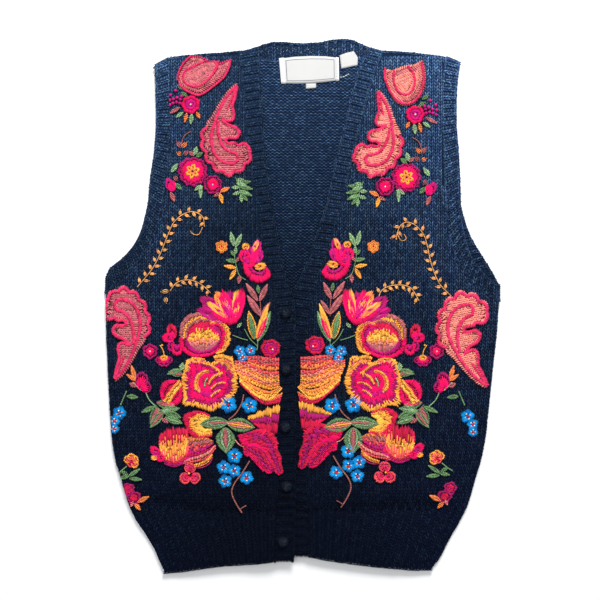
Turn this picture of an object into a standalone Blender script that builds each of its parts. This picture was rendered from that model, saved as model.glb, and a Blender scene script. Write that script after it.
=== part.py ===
# Knitted sweater vest, buttoned and laid flat on its back.
# The cloth lies in the XY plane: +Y runs from hem to shoulders, +X to the wearer's left,
# +Z up from the surface that the vest lies on. The origin is the middle of its footprint.
# Sizes below are millimetres; "height" is measured up the garment from its lowest hem corner.

import math
from collections import namedtuple

import bmesh
import bpy

# Driving sizes

MM = 0.001
BODY_LENGTH = 626.0       # hem corner to the top of the back neck
CLOTH = 2.8               # thickness of the double-sided knit wall
SEAM_GAP = 0.4            # between pieces that are sewn edge to edge
LAYER_GAP = 0.3           # between cloth that lies on cloth
LAP_GAP = 0.6             # between the buttonhole band and the button band under it
EDGE_ROUND = 1.0          # how far the faces stop short of a rolled edge
RIB_DEPTH = 1.1           # how deep a purl column lies under a knit column
BAND_RIB = 10.2           # rib to rib along the front and armhole bands
HEM_RIB = 9.4             # rib to rib along the hem
NECK_RIB = 10.2
HEM_TOP = 76.0            # height of the seam between the body and its ribbed hem
UNDERARM_RIGHT = 328.0    # height where the side seam ends, wearer's right
UNDERARM_LEFT = 319.0
LAP_START = 335.0         # below this height the buttonhole band lies on the button band
LAP_FADE = 60.0           # the lap comes down to the back over this length
LAP_SPREAD = 50.0         # the right front rises to the lap over this width
BUTTON_RADIUS = 6.2
BUTTON_HEIGHT = 5.0
BUTTON_BELLY = 1.4        # how much of that height is under the button's widest ring
LABEL_THICKNESS = 0.6
SETTLING_STEPS = 12       # passes that settle a point between four curved edges

# Rows of the body pieces, as heights: closer where the armholes curve
FRONT_ROWS = (76, 84, 96, 112, 132, 156, 180, 204, 230, 256, 282, 303, 319, 328, 336, 345,
              356, 369, 382, 396, 411, 430, 452, 476, 502, 530, 558, 582, 604)
BACK_ROWS = (76, 112, 156, 204, 256, 300, 319, 328, 336, 345, 356, 369, 382, 396, 411, 430,
             460, 495, 530, 565, 590, 604)
FRONT_COLUMNS = 10
BACK_COLUMNS = 16

# Outlines

Edge = namedtuple("Edge", "height x")
Rim = namedtuple("Rim", "x height")

SIDE_RIGHT = (Edge(76, -202), Edge(91, -207), Edge(109, -212), Edge(132, -219), Edge(156, -223),
              Edge(202, -226), Edge(261, -229), Edge(296, -230), Edge(328, -230))
SIDE_LEFT = (Edge(76, 192), Edge(91, 197), Edge(109, 202), Edge(132, 209), Edge(156, 214),
             Edge(202, 219), Edge(249, 224), Edge(284, 228), Edge(319, 230))

ARM_SEAM_RIGHT = (Edge(328, -230), Edge(336, -222), Edge(344, -214), Edge(355, -202),
                  Edge(369, -189), Edge(381, -180), Edge(395, -174), Edge(410, -169),
                  Edge(435, -164), Edge(459, -161), Edge(494, -157), Edge(530, -155),
                  Edge(565, -156), Edge(602, -156))
ARM_FREE_RIGHT = (Edge(346, -229), Edge(355, -226), Edge(366, -213), Edge(378, -201),
                  Edge(390, -193), Edge(401, -188), Edge(413, -185), Edge(436, -180),
                  Edge(460, -178), Edge(495, -173), Edge(530, -171), Edge(577, -172),
                  Edge(594, -172.5))
BACK_FREE_RIGHT = (Edge(346, -229), Edge(355, -227.5), Edge(366, -215), Edge(378, -203),
                   Edge(390, -195), Edge(401, -190), Edge(413, -186.5), Edge(436, -181.5),
                   Edge(460, -178.5), Edge(495, -173), Edge(530, -171), Edge(577, -172),
                   Edge(594, -172.5))

ARM_SEAM_LEFT = (Edge(319, 230), Edge(326, 217), Edge(333, 206), Edge(350, 192), Edge(364, 182),
                 Edge(379, 176), Edge(394, 173), Edge(419, 169), Edge(459, 167), Edge(495, 166),
                 Edge(530, 164), Edge(565, 164), Edge(602, 168))
ARM_FREE_LEFT = (Edge(337, 230), Edge(345, 217), Edge(360, 204), Edge(371, 196.5),
                 Edge(384, 192.5), Edge(397, 189), Edge(420, 185), Edge(460, 184), Edge(495, 182),
                 Edge(530, 180), Edge(565, 180.5), Edge(597, 184))
BACK_SEAM_LEFT = (Edge(319, 230), Edge(331, 221), Edge(346, 208), Edge(358, 199), Edge(370, 191),
                  Edge(383, 184), Edge(395, 179), Edge(410, 174), Edge(436, 169.5), Edge(459, 167),
                  Edge(495, 166), Edge(530, 164), Edge(565, 164), Edge(602, 168))
BACK_FREE_LEFT = (Edge(337, 230), Edge(355, 220.5), Edge(366, 213.5), Edge(378, 206),
                  Edge(390, 199), Edge(401, 194), Edge(413, 190), Edge(436, 185), Edge(460, 184),
                  Edge(495, 182), Edge(530, 180), Edge(565, 180.5), Edge(597, 184))

BAND_SEAM_RIGHT = (Edge(16, -32), Edge(74, -30), Edge(109, -27), Edge(292, -27), Edge(314, -29),
                   Edge(338, -34), Edge(370, -42), Edge(401, -47), Edge(435, -53), Edge(466, -57),
                   Edge(495, -61), Edge(530, -66), Edge(563, -69), Edge(616, -73))
BAND_FREE_RIGHT = (Edge(16, -10.5), Edge(109, -8), Edge(292, -8), Edge(318, -10),
                   Edge(338, -16.5), Edge(360, -23), Edge(399, -30), Edge(435, -37),
                   Edge(466, -41), Edge(507, -45), Edge(563, -48.5), Edge(616, -52))
BAND_SEAM_LEFT = (Edge(21, 8), Edge(74, 6), Edge(109, 4), Edge(261, 4), Edge(292, 5),
                  Edge(314, 9), Edge(338, 15.5), Edge(370, 26), Edge(390, 33), Edge(412, 40),
                  Edge(436, 47), Edge(483, 57), Edge(518, 66), Edge(563, 77), Edge(600, 89),
                  Edge(612, 96))
BAND_FREE_LEFT = (Edge(21, -20), Edge(109, -23), Edge(282, -23), Edge(301, -20), Edge(319, -14),
                  Edge(338, -6), Edge(355, 2), Edge(373, 9), Edge(391, 15), Edge(412, 22),
                  Edge(435, 29), Edge(483, 39), Edge(518, 48), Edge(563, 58), Edge(600, 70),
                  Edge(615, 81))

SHOULDER_RIGHT = (Rim(-173, 593), Rim(-156, 602.5), Rim(-143, 605), Rim(-120, 607), Rim(-97, 608.5),
                  Rim(-73, 611))
SHOULDER_LEFT = (Rim(96, 611), Rim(114, 610), Rim(137, 608), Rim(161, 605), Rim(168, 603.5),
                 Rim(184, 598))
BACK_TOP = (Rim(-173, 593), Rim(-156, 602.5), Rim(-143, 605), Rim(-120, 607), Rim(-97, 607.5),
            Rim(-80, 606), Rim(-65, 603.5), Rim(-48, 600.5), Rim(-32, 599), Rim(0, 598.5),
            Rim(32, 599.5), Rim(56, 600.5), Rim(73, 602.5), Rim(88, 606), Rim(100, 608),
            Rim(114, 609), Rim(137, 607.5), Rim(161, 604.5), Rim(168, 603), Rim(184, 598))
NECK_TOP = (Rim(-70, 612), Rim(-62, 614), Rim(-52, 617), Rim(-44, 620), Rim(-36, 622),
            Rim(-26, 622.5), Rim(-3, 621), Rim(20, 622), Rim(32, 624.5), Rim(50, 626),
            Rim(58, 625), Rim(67, 621), Rim(79, 616), Rim(94, 611.5))

HEM_SIDE_RIGHT = (Edge(0, -161), Edge(15, -168), Edge(27, -173), Edge(39, -178), Edge(50, -187),
                  Edge(62, -195), Edge(76, -202))
HEM_SIDE_LEFT = (Edge(4, 150), Edge(15, 159), Edge(27, 166), Edge(39, 170), Edge(50, 178),
                 Edge(62, 185), Edge(76, 192))
HEM_EDGE_RIGHT = (Rim(-164, 0), Rim(-143, 2), Rim(-120, 6), Rim(-97, 9), Rim(-73, 11),
                  Rim(-50, 13), Rim(-32, 16))
HEM_EDGE_LEFT = (Rim(8, 21), Rim(20, 18), Rim(44, 14), Rim(67, 11), Rim(91, 8), Rim(114, 6),
                 Rim(132, 4), Rim(152, 4))
HEM_EDGE_BACK = (Rim(-164, 1), Rim(-120, 8), Rim(-73, 13), Rim(-32, 18), Rim(8, 23), Rim(44, 17),
                 Rim(91, 11), Rim(152, 5))

# How far the front stands clear of the back, up the body
Loft = namedtuple("Loft", "height lift")
BODY_LOFT = (Loft(0, 3.0), Loft(40, 4.2), Loft(70, 3.6), Loft(92, 7.2), Loft(115, 6.6),
             Loft(160, 5.4), Loft(230, 5.0), Loft(330, 3.8), Loft(430, 2.2), Loft(530, 1.2),
             Loft(596, 0.0), Loft(630, 0.0))
SIDE_RISE = 55.0          # the front rises off the side seams over this width

# The largest folds: soft ridges (lift above 0) and troughs, as straight runs on the front
Fold = namedtuple("Fold", "x0 height0 x1 height1 reach lift")
FOLDS = (Fold(34, 412, 112, 420, 13, 3.0),
         Fold(72, 340, 138, 376, 14, -1.8),
         Fold(-58, 420, -114, 411, 13, 2.0),
         Fold(-149, 352, -94, 374, 14, -1.5),
         Fold(-182, 82, -110, 76, 9, -2.4),
         Fold(48, 74, 158, 78, 9, -2.4))

# Buttons on the buttonhole band
Spot = namedtuple("Spot", "x height")
BUTTONS = (Spot(-19.3, 304), Spot(-19.0, 239), Spot(-19.6, 172), Spot(-18.4, 104), Spot(-22.5, 39))

# Labels: each row is one station across the label, its lower and its upper end
Station = namedtuple("Station", "x_low low x_high high")
NECK_LABEL = (Station(-25, 573.5, -27.5, 602), Station(-8, 573, -9, 604.5),
              Station(10, 573.5, 10, 605.5), Station(27, 575, 27, 605), Station(43, 577, 42.5, 603))
CARE_LABEL = (Station(45.5, 590.5, 43.5, 606), Station(52.5, 592, 51, 609),
              Station(59.5, 593.5, 60, 611), Station(64.5, 594.5, 65, 603.5))
SIZE_LABEL = (Station(4, 567, 4, 572.9), Station(16, 568, 16, 573.3))

# Colours and finishes
Finish = namedtuple("Finish", "color roughness")
KNIT = Finish((0.010, 0.014, 0.030, 1.0), 0.92)
BUTTON_KNIT = Finish((0.012, 0.015, 0.028, 1.0), 0.88)
LABEL_SATIN = Finish((0.90, 0.90, 0.88, 1.0), 0.55)


def smooth(t):
    t = min(max(t, 0.0), 1.0)
    return t * t * (3.0 - 2.0 * t)


def curve(table):
    """Monotone cubic through a table's two columns, as a function of the first."""
    keys = [row[0] for row in table]
    values = [row[1] for row in table]
    if keys[0] > keys[-1]:
        keys.reverse()
        values.reverse()
    spans = [b - a for a, b in zip(keys, keys[1:])]
    slopes = [(b - a) / s for a, b, s in zip(values, values[1:], spans)]
    tangents = [slopes[0]]
    for left, right in zip(slopes, slopes[1:]):
        turning = left * right <= 0.0
        tangents.append(0.0 if turning else 2.0 * left * right / (left + right))
    tangents.append(slopes[-1])

    def at(key):
        if key <= keys[0]:
            return values[0]
        if key >= keys[-1]:
            return values[-1]
        i = max(n for n in range(len(spans)) if keys[n] <= key)
        s = spans[i]
        t = (key - keys[i]) / s
        return (values[i] * (1.0 + 2.0 * t) * (1.0 - t) ** 2
                + tangents[i] * s * t * (1.0 - t) ** 2
                + values[i + 1] * t * t * (3.0 - 2.0 * t)
                + tangents[i + 1] * s * t * t * (t - 1.0))

    return at


def joined(lower, upper, height):
    """One edge made of two tables that meet at a height, with a corner there."""
    below, above = curve(lower), curve(upper)
    return lambda h: below(h) if h <= height else above(h)


def polyline(points):
    """Straight runs through (x, height) points, as a function of x."""
    def at(x):
        if x <= points[0][0]:
            return points[0][1]
        for (x0, h0), (x1, h1) in zip(points, points[1:]):
            if x <= x1:
                return h0 + (h1 - h0) * (x - x0) / (x1 - x0)
        return points[-1][1]

    return at


outerRight = joined(HEM_SIDE_RIGHT, SIDE_RIGHT, HEM_TOP)
outerLeft = joined(HEM_SIDE_LEFT, SIDE_LEFT, HEM_TOP)
panelRight = joined(SIDE_RIGHT, ARM_SEAM_RIGHT, UNDERARM_RIGHT)
panelLeft = joined(SIDE_LEFT, ARM_SEAM_LEFT, UNDERARM_LEFT)
backLeft = joined(SIDE_LEFT, BACK_SEAM_LEFT, UNDERARM_LEFT)
armFreeRight = curve(ARM_FREE_RIGHT)
armFreeLeft = curve(ARM_FREE_LEFT)
bodyLoft = curve(BODY_LOFT)
bandSeamRight = curve(BAND_SEAM_RIGHT)
bandSeamLeft = curve(BAND_SEAM_LEFT)


def foldLift(x, height):
    total = 0.0
    for fold in FOLDS:
        dx, dh = fold.x1 - fold.x0, fold.height1 - fold.height0
        t = ((x - fold.x0) * dx + (height - fold.height0) * dh) / (dx * dx + dh * dh)
        t = min(max(t, 0.0), 1.0)
        away = math.hypot(x - fold.x0 - t * dx, height - fold.height0 - t * dh)
        total += fold.lift * math.exp(-(away / fold.reach) ** 2)
    return total


def frontFloor(x, height):
    """Underside of the front layer, above the back."""
    right = armFreeRight(height) if height > UNDERARM_RIGHT else outerRight(height)
    left = armFreeLeft(height) if height > UNDERARM_LEFT else outerLeft(height)
    inside = min(x - right, left - x)
    lift = (bodyLoft(height) + foldLift(x, height)) * smooth(inside / SIDE_RISE)
    return CLOTH + LAYER_GAP + max(lift, 0.0)


def lapFloor(x, height):
    """Underside of the right front, which rises at its edge to lie on the button band."""
    lap = 1.0 - smooth((height - LAP_START) / LAP_FADE)
    beside = 1.0 - smooth((bandSeamRight(height) - x) / LAP_SPREAD)
    return frontFloor(x, height) + (CLOTH + LAP_GAP) * lap * beside


def backFloor(x, height):
    return 0.0


# Building

def world(x, height, z):
    return (x * MM, (height - BODY_LENGTH / 2.0) * MM, z * MM)


def finishMaterial(name, finish):
    material = bpy.data.materials.new(name)
    material.use_nodes = True
    shader = material.node_tree.nodes["Principled BSDF"]
    shader.inputs["Base Color"].default_value = finish.color
    shader.inputs["Roughness"].default_value = finish.roughness
    shader.inputs["Metallic"].default_value = 0.0
    return material


def addObject(name, bm, finish):
    bmesh.ops.recalc_face_normals(bm, faces=bm.faces)
    mesh = bpy.data.meshes.new(name)
    bm.to_mesh(mesh)
    bm.free()
    mesh.shade_smooth()
    mesh.set_sharp_from_angle(angle=math.radians(50))
    mesh.materials.append(finishMaterial(name, finish))
    bpy.context.collection.objects.link(bpy.data.objects.new(name, mesh))


def stretched(left, right, bottom, top):
    """Fills four edges: left and right give x by height, bottom and top give height by x."""
    def place(u, v):
        x = left(HEM_TOP) + (right(HEM_TOP) - left(HEM_TOP)) * u
        for _ in range(SETTLING_STEPS):
            height = bottom(x) + (top(x) - bottom(x)) * v
            x = left(height) + (right(height) - left(height)) * u
        return x, height

    return place


def gridWall(name, finish, columns, rows, place, floor, ribbed=False, thickness=CLOTH):
    """A cloth wall over a grid of stations, with a rolled edge all round.

    Every second column lies deeper in a ribbed wall; its underside stays plain.
    """
    spots = [[place(u, v) for v in rows] for u in columns]
    lastColumn, lastRow = len(columns) - 1, len(rows) - 1
    bm = bmesh.new()
    tops, undersides = {}, {}
    for i, column in enumerate(spots):
        for j, (x, height) in enumerate(column):
            inX, inH = spots[min(max(i, 1), lastColumn - 1)][min(max(j, 1), lastRow - 1)]
            reach = math.hypot(inX - x, inH - height)
            share = EDGE_ROUND / reach if reach > 0.0 else 0.0
            faceX, faceH = x + (inX - x) * share, height + (inH - height) * share
            under = floor(faceX, faceH)
            depth = RIB_DEPTH if ribbed and i % 2 == 0 else 0.0
            undersides[i, j] = bm.verts.new(world(faceX, faceH, under))
            tops[i, j] = bm.verts.new(world(faceX, faceH, under + thickness - depth))
    for i in range(lastColumn):
        for j in range(lastRow):
            corners = ((i, j), (i + 1, j), (i + 1, j + 1), (i, j + 1))
            bm.faces.new([tops[c] for c in corners])
            bm.faces.new([undersides[c] for c in reversed(corners)])
    outline = ([(i, 0) for i in range(lastColumn)] + [(lastColumn, j) for j in range(lastRow)]
               + [(i, lastRow) for i in range(lastColumn, 0, -1)]
               + [(0, j) for j in range(lastRow, 0, -1)])
    rim = []
    for i, j in outline:
        x, height = spots[i][j]
        middle = (tops[i, j].co.z + undersides[i, j].co.z) / (2.0 * MM)
        rim.append(bm.verts.new(world(x, height, middle)))
    for n, corner in enumerate(outline):
        following = (n + 1) % len(outline)
        bm.faces.new((tops[corner], rim[n], rim[following], tops[outline[following]]))
        bm.faces.new((rim[n], undersides[corner], undersides[outline[following]], rim[following]))
    addObject(name, bm, finish)
    return spots


def pacedOut(points, count):
    """The same run of points, walked in equal paces."""
    lengths = [0.0]
    for (x0, h0), (x1, h1) in zip(points, points[1:]):
        lengths.append(lengths[-1] + math.hypot(x1 - x0, h1 - h0))
    paced = []
    for n in range(count):
        goal = lengths[-1] * n / (count - 1)
        i = max(k for k in range(len(points) - 1) if lengths[k] <= goal + 1e-9)
        t = (goal - lengths[i]) / (lengths[i + 1] - lengths[i])
        paced.append(tuple(a + (b - a) * t for a, b in zip(points[i], points[i + 1])))
    return paced


def edgePoints(table, step=4.0):
    """Points along a table's curve, close enough to walk."""
    at = curve(table)
    low, high = table[0].height, table[-1].height
    count = int((high - low) / step) + 1
    heights = [low + (high - low) * n / count for n in range(count + 1)]
    return [(at(h), h) for h in heights]


def runLength(points):
    return sum(math.hypot(b[0] - a[0], b[1] - a[1]) for a, b in zip(points, points[1:]))


def bandRing(seam, free, inner, outer, depth=0.0, shift=(0.0, 0.0)):
    """Six corners of a band's section, from its seam edge to its free edge.

    inner and outer are the heights of its two faces; shift moves them apart along the
    garment instead, where the band folds over.
    """
    width = math.hypot(free[0] - seam[0], free[1] - seam[1])
    wayX, wayH = (free[0] - seam[0]) / width, (free[1] - seam[1]) / width
    seam = (seam[0] + wayX * SEAM_GAP, seam[1] + wayH * SEAM_GAP)
    seamIn = (seam[0] + wayX * EDGE_ROUND, seam[1] + wayH * EDGE_ROUND)
    freeIn = (free[0] - wayX * EDGE_ROUND, free[1] - wayH * EDGE_ROUND)
    outerZ = outer - depth * (1.0 if outer > inner else -1.0)
    middle = (inner + outerZ) / 2.0
    half = (shift[0] / 2.0, shift[1] / 2.0)
    return (world(*seamIn, inner), world(*freeIn, inner),
            world(free[0] + half[0], free[1] + half[1], middle),
            world(freeIn[0] + shift[0], freeIn[1] + shift[1], outerZ),
            world(seamIn[0] + shift[0], seamIn[1] + shift[1], outerZ),
            world(seam[0] + half[0], seam[1] + half[1], middle))


def loft(name, rings, finish, closed):
    """One skin over a row of rings, capped at its ends or joined into a loop."""
    bm = bmesh.new()
    loops = [[bm.verts.new(corner) for corner in ring] for ring in rings]
    pairs = list(zip(loops, loops[1:]))
    if closed:
        pairs.append((loops[-1], loops[0]))
    else:
        bm.faces.new(loops[0])
        bm.faces.new(list(reversed(loops[-1])))
    for here, there in pairs:
        for k in range(len(here)):
            following = (k + 1) % len(here)
            bm.faces.new((here[k], there[k], there[following], here[following]))
    addObject(name, bm, finish)


def ribDepth(n):
    return RIB_DEPTH if n % 2 == 0 else 0.0


def frontBand(name, seamPoints, freeTable, floor):
    ribs = round(runLength(seamPoints) / BAND_RIB)
    seam = pacedOut(seamPoints, 2 * ribs + 1)
    free = pacedOut(edgePoints(freeTable), 2 * ribs + 1)
    rings = []
    for n, (s, f) in enumerate(zip(seam, free)):
        under = floor((s[0] + f[0]) / 2.0, (s[1] + f[1]) / 2.0)
        rings.append(bandRing(s, f, under, under + CLOTH, ribDepth(n)))
    loft(name, rings, KNIT, closed=False)


def armholeBand(name, frontSeam, frontFree, backSeam, backFree, underarmWay):
    """A closed loop: up the front, over the shoulder, down the back and under the arm."""
    ribs = round(runLength(frontSeam) / BAND_RIB)
    seam = pacedOut(frontSeam, 2 * ribs + 1)
    free = pacedOut(edgePoints(frontFree), 2 * ribs + 1)
    rings = []
    for n, (s, f) in enumerate(zip(seam, free)):
        under = frontFloor((s[0] + f[0]) / 2.0, (s[1] + f[1]) / 2.0)
        rings.append(bandRing(s, f, under, under + CLOTH, ribDepth(n)))
    fold = CLOTH + LAYER_GAP / 2.0
    rings.append(bandRing(seam[-1], free[-1], fold, fold, shift=(0.0, CLOTH)))
    backCount = ribs + 1
    backSeamRun = pacedOut(backSeam, backCount)
    backFreeRun = pacedOut(edgePoints(backFree), backCount)
    for s, f in reversed(list(zip(backSeamRun, backFreeRun))):
        rings.append(bandRing(s, f, CLOTH, 0.0))
    rings.append(bandRing(seam[0], free[0], fold, fold, shift=(underarmWay * CLOTH, 0.0)))
    loft(name, rings, KNIT, closed=True)


def shares(values):
    first, last = values[0], values[-1]
    return [(value - first) / (last - first) for value in values]


def evenly(count):
    return [n / count for n in range(count + 1)]


def buildPanels():
    frontRows, backRows = shares(FRONT_ROWS), shares(BACK_ROWS)
    hemSeam = HEM_TOP + SEAM_GAP
    back = gridWall("back_panel", KNIT, evenly(BACK_COLUMNS), backRows,
                    stretched(panelRight, backLeft, lambda x: hemSeam, curve(BACK_TOP)),
                    backFloor)
    right = gridWall("front_right", KNIT, evenly(FRONT_COLUMNS), frontRows,
                     stretched(panelRight, bandSeamRight, lambda x: hemSeam,
                               curve(SHOULDER_RIGHT)), lapFloor)
    left = gridWall("front_left", KNIT, evenly(FRONT_COLUMNS), frontRows,
                    stretched(bandSeamLeft, panelLeft, lambda x: hemSeam,
                              curve(SHOULDER_LEFT)), frontFloor)
    return back, right, left


def buildHem():
    def hem(name, left, right, edge, floor, ribs, ribbed):
        columns = evenly(2 * ribs if ribbed else ribs)
        place = stretched(left, right, curve(edge), lambda x: HEM_TOP)
        return gridWall(name, KNIT, columns, evenly(3), place, floor, ribbed)

    sideRight, sideLeft = curve(HEM_SIDE_RIGHT), curve(HEM_SIDE_LEFT)
    ribsRight = round((sideRight(40) - bandSeamRight(40)) / -HEM_RIB)
    ribsLeft = round((sideLeft(40) - bandSeamLeft(40)) / HEM_RIB)
    hem("hem_rib_back", sideRight, sideLeft, HEM_EDGE_BACK, backFloor, 16, False)
    right = hem("hem_rib_front_right", sideRight, bandSeamRight, HEM_EDGE_RIGHT, lapFloor,
                ribsRight, True)
    left = hem("hem_rib_front_left", bandSeamLeft, sideLeft, HEM_EDGE_LEFT, frontFloor,
               ribsLeft, True)
    return right, left


def buildNeckBand(back):
    topOfBack = polyline([column[-1] for column in back])
    first, last = NECK_TOP[0].x, NECK_TOP[-1].x
    ribs = round((last - first) / NECK_RIB)
    top = curve(NECK_TOP)

    def place(u, v):
        x = first + (last - first) * u
        low = topOfBack(x) + SEAM_GAP + LAYER_GAP
        return x, low + (top(x) - low) * v

    gridWall("neck_band", KNIT, evenly(2 * ribs), evenly(2), place, backFloor, ribbed=True)


def buildBands(back, right, left, hemRight, hemLeft):
    def seamOf(hemEdge, panelEdge):
        return hemEdge[:-1] + panelEdge

    frontBand("front_band_left", seamOf(hemLeft[0], left[0]), BAND_FREE_LEFT, frontFloor)
    frontBand("front_band_right", seamOf(hemRight[-1], right[-1]), BAND_FREE_RIGHT, lapFloor)

    def above(edge, height):
        return [p for p in edge if p[1] >= height - 1.0]

    armholeBand("armhole_band_right", above(right[0], UNDERARM_RIGHT), ARM_FREE_RIGHT,
                above(back[0], UNDERARM_RIGHT), BACK_FREE_RIGHT, -1.0)
    armholeBand("armhole_band_left", above(left[-1], UNDERARM_LEFT), ARM_FREE_LEFT,
                above(back[-1], UNDERARM_LEFT), BACK_FREE_LEFT, 1.0)


def buildButtons():
    for n, spot in enumerate(BUTTONS):
        seat = lapFloor(spot.x, spot.height) + CLOTH + LAYER_GAP
        bm = bmesh.new()
        bmesh.ops.create_uvsphere(bm, u_segments=14, v_segments=8, radius=1.0)
        for vert in bm.verts:
            x, y, z = vert.co
            depth = BUTTON_HEIGHT - BUTTON_BELLY if z > 0.0 else BUTTON_BELLY
            vert.co = world(spot.x + x * BUTTON_RADIUS, spot.height + y * BUTTON_RADIUS,
                            seat + BUTTON_BELLY + z * depth)
        addObject(f"button_{n + 1}", bm, BUTTON_KNIT)


def buildLabels():
    def label(name, stations, rows):
        def place(u, v):
            spot = stations[round(u * (len(stations) - 1))]
            return (spot.x_low + (spot.x_high - spot.x_low) * v,
                    spot.low + (spot.high - spot.low) * v)

        def seat(x, height):
            return CLOTH + LAYER_GAP

        gridWall(name, LABEL_SATIN, evenly(len(stations) - 1), evenly(rows), place, seat,
                 thickness=LABEL_THICKNESS)

    label("neck_label", NECK_LABEL, 2)
    label("care_label", CARE_LABEL, 2)
    label("size_label", SIZE_LABEL, 2)


def main():
    for old in list(bpy.data.objects):
        bpy.data.objects.remove(old, do_unlink=True)
    back, right, left = buildPanels()
    hemRight, hemLeft = buildHem()
    buildNeckBand(back)
    buildBands(back, right, left, hemRight, hemLeft)
    buildButtons()
    buildLabels()


main()
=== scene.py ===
# Looks of a knitted sweater vest, buttoned and laid flat: knit stitches, wool embroidery,
# crocheted buttons and satin labels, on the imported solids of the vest.
# The tables are in millimetres: x to the wearer's left, "height" up from the lowest hem corner.

import math

import bmesh
import bpy
import numpy as np
from mathutils import Matrix, Vector
from mathutils.bvhtree import BVHTree


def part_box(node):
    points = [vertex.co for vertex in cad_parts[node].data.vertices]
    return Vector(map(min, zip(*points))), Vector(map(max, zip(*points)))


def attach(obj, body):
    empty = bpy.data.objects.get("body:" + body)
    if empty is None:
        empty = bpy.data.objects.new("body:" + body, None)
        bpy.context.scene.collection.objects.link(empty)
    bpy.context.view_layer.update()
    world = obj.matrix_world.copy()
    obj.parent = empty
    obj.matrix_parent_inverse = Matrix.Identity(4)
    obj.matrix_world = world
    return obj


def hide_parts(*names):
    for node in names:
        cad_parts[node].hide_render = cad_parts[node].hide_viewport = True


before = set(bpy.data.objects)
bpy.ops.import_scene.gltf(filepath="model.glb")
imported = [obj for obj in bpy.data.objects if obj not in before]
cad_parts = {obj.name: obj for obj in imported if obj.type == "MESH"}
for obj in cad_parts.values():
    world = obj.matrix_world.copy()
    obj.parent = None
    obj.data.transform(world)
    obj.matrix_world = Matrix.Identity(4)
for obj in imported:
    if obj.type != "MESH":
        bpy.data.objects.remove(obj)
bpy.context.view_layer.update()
rng = np.random.default_rng(11)

vest = {
    "length": 626.0,        # hem corner to the top of the neck
    "wall": 2.8,            # thickness of the cloth, stitches included
    "wale": 5.03,           # one knit stitch across
    "course": 3.78,         # one knit stitch up
    "hemTop": 76.0,
    "underarmRight": 328.0,
    "underarmLeft": 319.0,
    "ribAcross": 10.2,      # rib to rib on the bands
    "hemRibAcross": 9.4,
    "core": 1.0,            # how far the plain cloth lies under the stitches' tops
}

# ---- edges of the pieces, the same rows as in the solids


def toMetres(x, height, z):
    return np.stack(np.broadcast_arrays(x, height - vest["length"] / 2, z), axis=-1) * 0.001


def curve(rows):
    # smooth run through (key, value) rows that never overshoots them
    keys = np.array([r[0] for r in rows], float)
    values = np.array([r[1] for r in rows], float)
    if keys[0] > keys[-1]:
        keys, values = keys[::-1], values[::-1]
    spans = np.diff(keys)
    slopes = np.diff(values) / spans
    tangents = np.concatenate([slopes[:1], np.zeros(len(keys) - 2), slopes[-1:]])
    product = slopes[:-1] * slopes[1:]
    going = product > 0
    tangents[1:-1][going] = 2 * product[going] / (slopes[:-1] + slopes[1:])[going]

    def at(key):
        key = np.clip(key, keys[0], keys[-1])
        i = np.clip(np.searchsorted(keys, key, side="right") - 1, 0, len(spans) - 1)
        s = spans[i]
        t = (key - keys[i]) / s
        return (values[i] * (1 + 2 * t) * (1 - t) ** 2 + tangents[i] * s * t * (1 - t) ** 2
                + values[i + 1] * t * t * (3 - 2 * t) + tangents[i + 1] * s * t * t * (t - 1))

    at.low, at.high = keys[0], keys[-1]
    return at


def joined(lower, upper, height):
    below, above = curve(lower), curve(upper)
    return lambda h: np.where(h <= height, below(h), above(h))


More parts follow.
